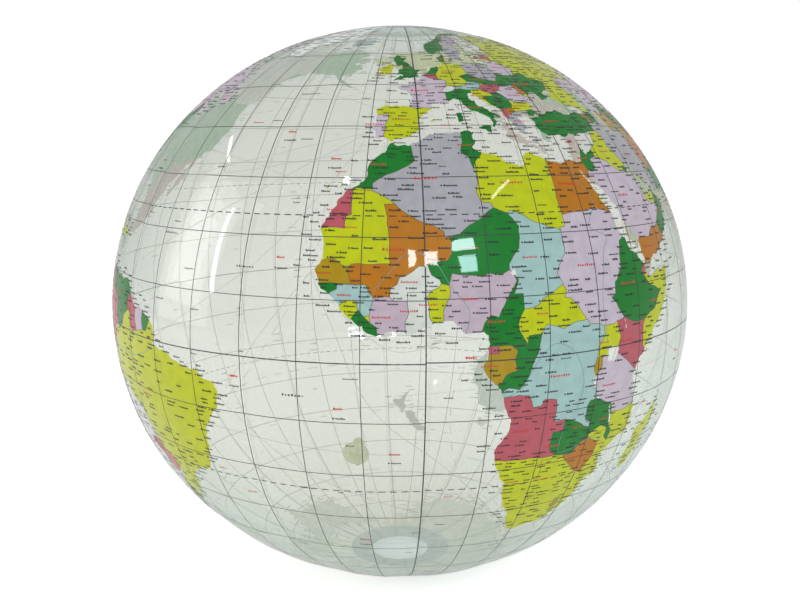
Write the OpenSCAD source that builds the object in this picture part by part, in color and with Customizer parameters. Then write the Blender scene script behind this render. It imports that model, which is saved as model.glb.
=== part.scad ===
// Clear inflatable globe: twelve film gores welded edge to edge, a cap over each pole,
// and a push-in air valve. The ball stands on its south cap, with its weight pressing
// a small flat there. Origin: centre of that flat, on the table. +Z runs up through
// the poles, and longitude 0 faces -Y.

/* [Ball] */
// Diameter of the inflated ball across its equator
ball_d = 406.4; // [300:0.1:500]
// Height of the ball's ellipse over its diameter
pole_ratio = 0.958; // [0.93:0.001:0.99]
// Thickness of the film
film_t = 0.3; // [0.2:0.05:0.4]

/* [Welds] */
// Width of each gore's lap under the next gore
lap_w = 3; // [2:0.5:4]
// Width of the weld on the gore's own side of the seam
weld_w = 2; // [1:0.5:3]
// Gap between two layers of film that are welded together
weld_gap = 0.05; // [0.04:0.01:0.08]

/* [Valve] */
// Longitude of the valve, in the middle of its gore
valve_lon = 195; // [192:1:198]
// Angle of the valve's centre from the north pole
valve_polar = 143.7; // [140:0.1:146]
// Outer radius of the flange that is welded inside the film
flange_r = 12; // [10:0.5:14]
// Thickness of the flange
flange_t = 0.8; // [0.6:0.1:1.2]
// Radius of the hole in the film and in the flange
valve_hole_r = 8; // [7.5:0.1:8.5]
// Outer radius of the neck
neck_r = 5; // [4.5:0.1:5.2]
// Radius of the air way through the neck
airway_r = 3.2; // [2.8:0.1:3.4]
// Length of the neck
neck_len = 18; // [14:1:20]
// Thickness of the soft skirt between the flange and the neck
skirt_t = 0.5; // [0.4:0.1:0.6]
// Radius of the stopper's head
plug_head_r = 6.2; // [5.8:0.1:6.8]
// Thickness of the stopper's head
plug_head_t = 1.3; // [1:0.1:1.6]
// Length of the stopper's stem
stem_len = 6.5; // [5:0.5:9]
// Thickness of the check flap over the neck's inner end
flap_t = 0.5; // [0.4:0.1:0.8]

/* [Colours] */
// Clear film
film_colour = [0.88, 0.90, 0.86, 0.45]; // [0:0.01:1]
// Moulded valve parts
valve_colour = [0.84, 0.86, 0.62]; // [0:0.01:1]

/* [Hidden] */

$fn = 96;
gore_angle = 30;
valve_gore = 7;

ball_r = ball_d / 2;
pole_r = ball_r * pole_ratio;

// The meridian is drawn in straight bands between these polar angles. The bands are
// narrow near the poles, where the tips, the caps and the flat end on one of them.
pole_step = 1.5;
band_step = 5;
rest_angle = 3 * pole_step;
tip_angle = 4 * pole_step;
cap_angle = 7 * pole_step;
STATIONS = concat(
    [for (a = [0 : pole_step : cap_angle]) a],
    [for (a = [15 : band_step : 165]) a],
    [for (a = [180 - cap_angle : pole_step : 180 - rest_angle]) a],
    [180]
);

// Depths are measured inwards from the outer face of the gores.
lap_depth = film_t + weld_gap;
cap_height = weld_gap + film_t;
edge_gap = 0.02;
centre_z = (pole_r + cap_height) * cos(rest_angle);
reach = ball_d;

// Sizes along the valve's own axis, which starts on the film and points out of the ball.
neck_top = 1.1;
neck_seat = neck_top - neck_len;
fit_gap = 0.06;
flap_r = neck_r - 0.4;
skirt_drop = 4.5;
strap_w = 3;
strap_t = 0.6;
strap_gap = 0.3;
strap_bend_x = 10;
tab_r = 2.5;
tab_x = 8.5;

// A point of the layer of film at the given depth. Past the rest angle the layer is flat.
function layer_point(a, depth) = [
    (ball_r - depth) * sin(a),
    (pole_r - depth) * cos(min(a, 180 - rest_angle))
];

// Section through a layer of film, between two polar angles and two depths.
module layer_section(from, to, outer, inner) {
    angles = [for (a = STATIONS) if (a >= from && a <= to) a];
    last = len(angles) - 1;
    polygon(concat(
        [for (a = angles) layer_point(a, outer)],
        [for (i = [last : -1 : 0]) layer_point(angles[i], inner)]
    ));
}

// The same layer, revolved through a sweep that starts at the local +X axis.
module layer(from, to, outer, inner, sweep) {
    rotate_extrude(angle = sweep) layer_section(from, to, outer, inner);
}

// Places its children round the ball's centre, with local +X at the given longitude.
module at_longitude(lon) {
    translate([0, 0, centre_z]) rotate([0, 0, lon - 90]) children();
}

// Places its children on the film at the valve, with +Z pointing out of the ball.
module at_valve() {
    tilt = atan2(sin(valve_polar) / ball_r, cos(valve_polar) / pole_r);
    at_longitude(valve_lon)
        translate([ball_r * sin(valve_polar), 0, pole_r * cos(valve_polar)])
            rotate([0, tilt, 0]) children();
}

// A strip of a layer along the seam on the local +X axis, from y0 to y1 across the seam.
module seam_strip(outer, inner, y0, y1) {
    intersection() {
        rotate([0, 0, -gore_angle]) layer(tip_angle, 180 - tip_angle, outer, inner, 2 * gore_angle);
        translate([0, y0, -reach]) cube([reach, y1 - y0, 2 * reach]);
    }
}

// One gore: its panel, a lap that passes under the next gore, and the weld that joins them.
module gore_film(i) {
    at_longitude(gore_angle * (i - 1)) {
        layer(tip_angle, 180 - tip_angle, 0, film_t, gore_angle - edge_gap);
        rotate([0, 0, gore_angle]) {
            seam_strip(lap_depth, lap_depth + film_t, -weld_w, lap_w);
            seam_strip(film_t / 2, lap_depth + film_t / 2, -weld_w, -film_t);
        }
    }
}

module gore(i) {
    color(film_colour)
        if (i == valve_gore) {
            difference() {
                gore_film(i);
                at_valve() cylinder(r = valve_hole_r, h = 4 * flange_r, center = true);
            }
        } else {
            gore_film(i);
        }
}

module north_cap() {
    color(film_colour) at_longitude(0) layer(0, cap_angle, -cap_height, -weld_gap, 360);
}

module south_cap() {
    color(film_colour) at_longitude(0) layer(180 - cap_angle, 180, -cap_height, -weld_gap, 360);
}

// Ring welded to the inside of the film, following its curve.
module valve_flange() {
    color(valve_colour) intersection() {
        at_longitude(valve_lon - gore_angle / 2)
            layer(130, 160, lap_depth, lap_depth + flange_t, gore_angle);
        at_valve() difference() {
            cylinder(r = flange_r, h = flange_r, center = true);
            cylinder(r = valve_hole_r, h = 2 * flange_r, center = true);
        }
    }
}

// Soft channel that rolls over when the neck is pushed in or pulled out.
module valve_skirt() {
    inner_r = neck_r + 2 * fit_gap;
    outer_r = valve_hole_r - fit_gap;
    color(valve_colour) at_valve() rotate_extrude() polygon([
        [inner_r, -1],
        [inner_r, -skirt_drop],
        [outer_r, -skirt_drop],
        [outer_r, -lap_depth],
        [outer_r - skirt_t, -lap_depth],
        [outer_r - skirt_t, skirt_t - skirt_drop],
        [inner_r + skirt_t, skirt_t - skirt_drop],
        [inner_r + skirt_t, -1]
    ]);
}

module valve_neck() {
    color(valve_colour) at_valve() difference() {
        translate([0, 0, neck_seat]) cylinder(r = neck_r, h = neck_len);
        translate([0, 0, neck_seat - 1]) cylinder(r = airway_r, h = neck_len + 2);
    }
}

// Tether from the neck's rim, looped back to the stopper's head.
module valve_strap() {
    loop_r = strap_t + strap_gap;
    low_z = neck_top - loop_r;
    color(valve_colour) at_valve() rotate([90, 0, 0])
        translate([0, 0, -strap_w / 2]) linear_extrude(strap_w) {
            difference() {
                translate([-strap_bend_x, neck_top]) circle(r = loop_r);
                translate([-strap_bend_x, neck_top]) circle(r = strap_gap);
                translate([-strap_bend_x, neck_top - loop_r]) square(2 * loop_r);
            }
            translate([-strap_bend_x - 0.01, low_z])
                square([strap_bend_x - neck_r - fit_gap, strap_t]);
            translate([-strap_bend_x - 0.01, neck_top + strap_gap])
                square([strap_bend_x - plug_head_r - fit_gap, strap_t]);
        }
}

// Stopper: a stem in the air way, a flat head, and a tab to pull it by.
module valve_plug() {
    color(valve_colour) at_valve() {
        translate([0, 0, neck_top + fit_gap]) linear_extrude(plug_head_t) {
            circle(r = plug_head_r);
            translate([0, -tab_r]) square([tab_x, 2 * tab_r]);
            translate([tab_x, 0]) circle(r = tab_r);
        }
        translate([0, 0, neck_top - stem_len])
            cylinder(r = airway_r - fit_gap, h = stem_len + plug_head_t / 2);
    }
}

// Check flap under the neck's inner end, with a stiffening boss.
module valve_flap() {
    color(valve_colour) at_valve() translate([0, 0, neck_seat - fit_gap - flap_t]) {
        cylinder(r = flap_r, h = flap_t);
        translate([0, 0, -flap_t]) cylinder(r = flap_r / 3, h = 1.5 * flap_t);
    }
}

gore(1);  // gore_01
gore(2);  // gore_02
gore(3);  // gore_03
gore(4);  // gore_04
gore(5);  // gore_05
gore(6);  // gore_06
gore(7);  // gore_07
gore(8);  // gore_08
gore(9);  // gore_09
gore(10);  // gore_10
gore(11);  // gore_11
gore(12);  // gore_12
north_cap();
south_cap();
valve_flange();
valve_skirt();
valve_neck();
valve_strap();
valve_plug();
valve_flap();
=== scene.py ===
import math
import random

import bpy
import numpy as np
from mathutils import Matrix, Vector
from mathutils.geometry import delaunay_2d_cdt


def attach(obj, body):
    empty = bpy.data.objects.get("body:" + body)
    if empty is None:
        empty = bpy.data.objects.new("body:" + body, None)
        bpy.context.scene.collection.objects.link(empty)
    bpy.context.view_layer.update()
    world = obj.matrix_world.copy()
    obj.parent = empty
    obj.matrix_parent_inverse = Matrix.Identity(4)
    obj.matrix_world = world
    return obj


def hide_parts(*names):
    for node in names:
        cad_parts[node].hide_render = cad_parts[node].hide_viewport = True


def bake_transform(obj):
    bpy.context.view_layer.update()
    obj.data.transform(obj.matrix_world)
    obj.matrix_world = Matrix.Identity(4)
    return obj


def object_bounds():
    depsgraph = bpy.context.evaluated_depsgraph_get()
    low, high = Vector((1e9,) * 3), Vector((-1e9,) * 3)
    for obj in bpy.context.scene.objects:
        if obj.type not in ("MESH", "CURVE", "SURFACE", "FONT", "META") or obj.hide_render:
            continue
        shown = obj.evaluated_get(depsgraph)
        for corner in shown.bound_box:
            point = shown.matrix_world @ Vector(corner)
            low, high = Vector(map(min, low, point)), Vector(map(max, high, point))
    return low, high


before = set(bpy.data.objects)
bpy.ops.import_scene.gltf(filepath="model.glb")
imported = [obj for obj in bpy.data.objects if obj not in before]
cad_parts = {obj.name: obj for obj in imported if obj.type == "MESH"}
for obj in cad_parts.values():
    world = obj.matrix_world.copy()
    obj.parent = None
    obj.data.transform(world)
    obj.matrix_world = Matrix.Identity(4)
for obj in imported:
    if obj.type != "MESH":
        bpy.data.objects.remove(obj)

# Lengths are in metres and angles in degrees. Longitude 0 faces -Y, and east is +X.
cad_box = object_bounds()
MM = 0.001

# ---------------------------------------------------------------- the ball's own shape

FILM_T = 0.3 * MM
CAP_HEIGHT = 0.35 * MM
CAP_T = 0.30 * MM
REST_ANGLE = 4.5  # from the south pole to the edge of the flat that the ball rests on
REST_COS = math.cos(math.radians(REST_ANGLE))
BALL_R = (cad_box[1][0] - cad_box[0][0]) / 2
POLE_R = (cad_box[1][2] - cad_box[0][2]) / (1 + REST_COS) - CAP_HEIGHT
CENTRE_Z = (POLE_R + CAP_HEIGHT) * REST_COS
GORE_ANGLE = 30
GORES = 360 // GORE_ANGLE
TIP_LAT = 84
PRINT_LAT = 79.4
LAT_STEP = 1.5

# Relief of the inflated film, and how far from a seam, a cap or the valve each part of it reaches.
CROWN = 0.45 * MM
SEAM_DIP = 0.35 * MM
SEAM_DIP_REACH = 6 * MM
PUCKER = 0.07 * MM
PUCKER_REACH = 11 * MM
CAP_CALM = 12
VALVE_CALM = 6.5

# Heights of the layers above the film's outer face.
INK_LIFT = (0.10 * MM, 0.15 * MM)
LINE_LIFT = (0.16 * MM, 0.20 * MM)
LABEL_LIFT = (0.21 * MM, 0.25 * MM)

# The valve's frame: its origin is on the film, and +Z points out of the ball.
VALVE_LON = 195
VALVE_POLAR = 143.7
VALVE_LAT = 90 - VALVE_POLAR
VALVE_GORE = 7
valve_sin, valve_cos = math.sin(math.radians(VALVE_POLAR)), math.cos(math.radians(VALVE_POLAR))
VALVE = (
    Matrix.Translation((0, 0, CENTRE_Z))
    @ Matrix.Rotation(math.radians(VALVE_LON - 90), 4, "Z")
    @ Matrix.Translation((BALL_R * valve_sin, 0, POLE_R * valve_cos))
    @ Matrix.Rotation(math.atan2(valve_sin / BALL_R, valve_cos / POLE_R), 4, "Y")
)


def nearest_seam(lon):
    """Angle from the nearest seam."""
    return abs((lon + GORE_ANGLE / 2) % GORE_ANGLE - GORE_ANGLE / 2)


def relief(lon, lat):
    """How far the inflated film stands off the plain ellipse: crowned gores, seams
    pulled in, and shallow puckers along each weld."""
    fade = max(0.0, min(1.0, (PRINT_LAT - abs(lat)) / CAP_CALM))
    if fade == 0:
        return 0.0
    east = (lon % 360 - VALVE_LON) * math.cos(math.radians(lat))
    fade *= 1 - math.exp(-((east**2 + (lat - VALVE_LAT) ** 2) / VALVE_CALM**2))
    across = math.radians(nearest_seam(lon)) * BALL_R * math.cos(math.radians(lat))
    seam = round(lon / GORE_ANGLE) % GORES
    along = math.radians(lat) * BALL_R
    crown = CROWN * (1 - math.cos(math.radians(lon * GORES))) / 2
    dip = SEAM_DIP * math.exp(-((across / SEAM_DIP_REACH) ** 2))
    wave = math.sin(along / (4.2 * MM) + 2.3 * seam) + 0.6 * math.sin(along / (6.7 * MM) + 1.1 * seam)
    pucker = PUCKER * wave * math.exp(-((across / PUCKER_REACH) ** 2))
    return fade * (crown - dip + pucker)


def on_ball(lon, lat, lift):
    """The point of the layer at that height above the film's outer face."""
    height = lift + relief(lon, lat)
    u, v = math.radians(lon), math.radians(lat)
    ring = (BALL_R + height) * math.cos(v)
    z = CENTRE_Z + (POLE_R + height) * max(math.sin(v), -REST_COS)
    return Vector((ring * math.sin(u), -ring * math.cos(u), z))


# ---------------------------------------------------------------- camera

# The direction the ball is seen from, the lens's distance from its centre, and the lens in mm.
VIEW_LON = -3.94
VIEW_ELEVATION = 9.66
VIEW_DISTANCE = 3.544 * BALL_R
LENS = 43.9
SENSOR = 36


def direction(lon, elevation):
    """Unit vector from the ball's centre at that longitude and elevation."""
    u, v = math.radians(lon), math.radians(elevation)
    return Vector((math.cos(v) * math.sin(u), -math.cos(v) * math.cos(u), math.sin(v)))


def make_camera():
    """The camera, aimed at the ball's centre."""
    data = bpy.data.cameras.new("camera")
    data.lens = LENS
    data.sensor_width = SENSOR
    camera = bpy.data.objects.new("camera", data)
    bpy.context.scene.collection.objects.link(camera)
    centre = Vector((0, 0, CENTRE_Z))
    camera.location = centre + direction(VIEW_LON, VIEW_ELEVATION) * VIEW_DISTANCE
    camera.rotation_euler = (centre - camera.location).to_track_quat("-Z", "Y").to_euler()
    bpy.context.scene.camera = camera
    return camera


camera = make_camera()

# ---------------------------------------------------------------- materials

# The film's gloss, its tint at the rim, and how strong its mirror is from straight on to edge on.
FILM_ROUGHNESS = 0.035
RIM_TINT = (0.95, 0.975, 0.97)
RIM_SHINE = [(0, 0.036), (0.45, 0.05), (0.7, 0.12), (0.88, 0.33), (1, 0.85)]

# The brightness of the white that the inks are backed with, out of 255.
UNDERPRINT = 238

# Print inks, as hex codes.
INKS = {
    "yellow": "B0B600",
    "green": "006D1C",
    "orange": "A96700",
    "rose": "AA4E58",
    "lilac": "B7A8B4",
    "pink": "B19DA9",
    "grey": "9C999E",
    "teal": "94AFAB",
    "cream": "C4C5BD",
    "gold": "9E7F00",
    "pale": "DCE2DC",
}


def srgb(text):
    """Linear colour of a hex code."""
    values = [int(text[i : i + 2], 16) / 255 for i in (0, 2, 4)]
    return tuple(v / 12.92 if v <= 0.04045 else ((v + 0.055) / 1.055) ** 2.4 for v in values) + (1,)


class Nodes:
    """A material's node tree, with short calls to add and join nodes."""

    def __init__(self, name):
        self.material = bpy.data.materials.new(name)
        self.material.use_nodes = True
        self.tree = self.material.node_tree
        self.tree.nodes.clear()
        self.output = self.add("ShaderNodeOutputMaterial")

    def add(self, kind, **inputs):
        node = self.tree.nodes.new(kind)
        for key, value in inputs.items():
            self.set(node, key.replace("_", " "), value)
        return node

    def set(self, node, key, value):
        if isinstance(value, bpy.types.NodeSocket):
            self.tree.links.new(value, node.inputs[key])
        else:
            node.inputs[key].default_value = value

    def noise(self, scale, detail=3):
        place = self.add("ShaderNodeTexCoord").outputs["Object"]
        return self.add("ShaderNodeTexNoise", Vector=place, Scale=scale, Detail=detail).outputs["Fac"]

    def ramp(self, fac, stops):
        node = self.add("ShaderNodeValToRGB", Fac=fac)
        for i, (at, colour) in enumerate(stops):
            if i > 1:
                node.color_ramp.elements.new(at)
            node.color_ramp.elements[i].position = at
            node.color_ramp.elements[i].color = colour
        return node.outputs["Color"]

    def bump(self, height, strength, distance):
        node = self.add("ShaderNodeBump", Height=height, Strength=strength, Distance=distance)
        return node.outputs["Normal"]

    def film_waves(self):
        """The film's slight waviness, which the ink on it shares."""
        return self.bump(self.noise(22, 2), 0.06, 0.004)

    def mix(self, fac, a, b):
        node = self.add("ShaderNodeMixShader", Fac=fac)
        self.tree.links.new(a, node.inputs[1])
        self.tree.links.new(b, node.inputs[2])
        return node.outputs[0]

    def finish(self, shader):
        self.tree.links.new(shader, self.output.inputs["Surface"])
        return self.material


def grey(value):
    """A grey colour, or an amount for a ramp."""
    return (value, value, value, 1)


def rim_facing(n, normal):
    """How far the surface turns away, from 0 straight on to 1 edge on, the same from both sides."""
    return n.add("ShaderNodeLayerWeight", Blend=0.5, Normal=normal).outputs["Facing"]


def film_material(name, tint, haze):
    """Clear vinyl: see-through, with a mirror gloss that grows towards the rim and a faint haze."""
    n = Nodes(name)
    waves = n.film_waves()
    gloss = n.add("ShaderNodeBsdfGlossy", Roughness=FILM_ROUGHNESS, Normal=waves, Color=grey(1))
    rim_tint = tuple(c * s for c, s in zip(tint, RIM_TINT)) + (1,)
    stops = [(0.35, tint + (1,)), (0.97, rim_tint)]
    clear = n.add("ShaderNodeBsdfTransparent", Color=n.ramp(rim_facing(n, waves), stops))
    milk = n.add("ShaderNodeBsdfDiffuse", Color=(0.86, 0.87, 0.83, 1))
    cloud = n.ramp(n.noise(9, 4), [(0.3, grey(haze * 0.7)), (0.7, grey(haze * 1.3))])
    body = n.mix(cloud, clear.outputs[0], milk.outputs[0])
    shine = n.ramp(rim_facing(n, waves), [(at, grey(amount)) for at, amount in RIM_SHINE])
    return n.finish(n.mix(shine, body, gloss.outputs[0]))


def ink_material(name, code, depth=0.06, glow=0.0):
    """Screen ink under gloss: a slightly uneven coat of colour with the film's own shine.
    An underside can also get a painted glow: emission that stands in for the daylight coming through the ink."""
    n = Nodes(name)
    base = srgb(code)
    thin = tuple(min(1.0, c * (1 + depth)) for c in base[:3]) + (1,)
    deep = tuple(c * (1 - depth) for c in base[:3]) + (1,)
    colour = n.ramp(n.noise(160, 5), [(0.35, deep), (0.65, thin)])
    shader = n.add("ShaderNodeBsdfPrincipled", Base_Color=colour, Roughness=0.42, Normal=n.film_waves())
    n.set(shader, "Coat Weight", 0.45)
    n.set(shader, "Coat Roughness", FILM_ROUGHNESS)
    n.set(shader, "Specular IOR Level", 0.1)
    # Painted glow: emission in the ink's colour, standing in for daylight that comes through the ink.
    if glow:
        n.set(shader, "Emission Color", colour)
        n.set(shader, "Emission Strength", glow)
    return n.finish(shader.outputs[0])


def vinyl_material(name, code):
    """Soft moulded vinyl of the valve: satin, cloudy and half see-through, with a fine grain and a painted
    glow.
    """
    n = Nodes(name)
    base = srgb(code)
    pale = tuple(min(1.0, c * 1.12) for c in base[:3]) + (1,)
    colour = n.ramp(n.noise(120, 3), [(0.3, base), (0.7, pale)])
    shader = n.add("ShaderNodeBsdfPrincipled", Base_Color=colour, Roughness=0.34)
    n.set(shader, "Normal", n.bump(n.noise(900, 4), 0.12, 0.0003))
    # Painted glow: emission in the vinyl's own colour, standing in for light that passes through the vinyl.
    n.set(shader, "Emission Color", colour)
    n.set(shader, "Emission Strength", 0.16)
    n.set(shader, "Coat Weight", 0.4)
    n.set(shader, "Coat Roughness", 0.15)
    clear = n.add("ShaderNodeBsdfTransparent", Color=(0.95, 0.96, 0.91, 1))
    thick = n.ramp(rim_facing(n, n.bump(n.noise(60, 2), 0.05, 0.001)), [(0, grey(0.42)), (0.8, grey(0.85))])
    return n.finish(n.mix(thick, clear.outputs[0], shader.outputs[0]))


def underside(code):
    """An ink as it shows from inside the ball: one part of it to three of its white underprint."""
    return "%02X%02X%02X" % tuple((int(code[i : i + 2], 16) + 3 * UNDERPRINT) // 4 for i in (0, 2, 4))


PRINTS = {name: ink_material("ink_" + name, code) for name, code in INKS.items()}
# Undersides: each ink mixed with its white underprint, plus a painted glow for the daylight that comes
# through the ink.
PAINTED_GLOW_BACKS = {name: ink_material("back_" + name, underside(code), glow=0.45) for name, code in INKS.items()}
BLACK = ink_material("ink_black", "262628")
RED = ink_material("ink_red", "C03030")
LINE = ink_material("ink_line", "3A3A38")
BORDER = ink_material("ink_border", "5A5040")
RIVER = ink_material("ink_river", "6C8A96")
ROUTE = ink_material("ink_route", "B0B0A8")
# Undersides of the lines and lettering, with the same painted glow.
LINE_BACK_PAINTED_GLOW = ink_material("back_line", "A2A29C", glow=0.3)
TEXT_BACK_PAINTED_GLOW = ink_material("back_text", "BCBCB6", glow=0.4)
FILM = film_material("clear_film", (0.815, 0.825, 0.795), 0.05)
LINING = film_material("film_lining", (0.985, 0.987, 0.98), 0.008)
CAP_FILM = film_material("cap_film", (0.90, 0.93, 0.95), 0.06)
VINYL = vinyl_material("valve_vinyl", "DDDFC6")

# ---------------------------------------------------------------- the map, as lon lat

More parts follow.
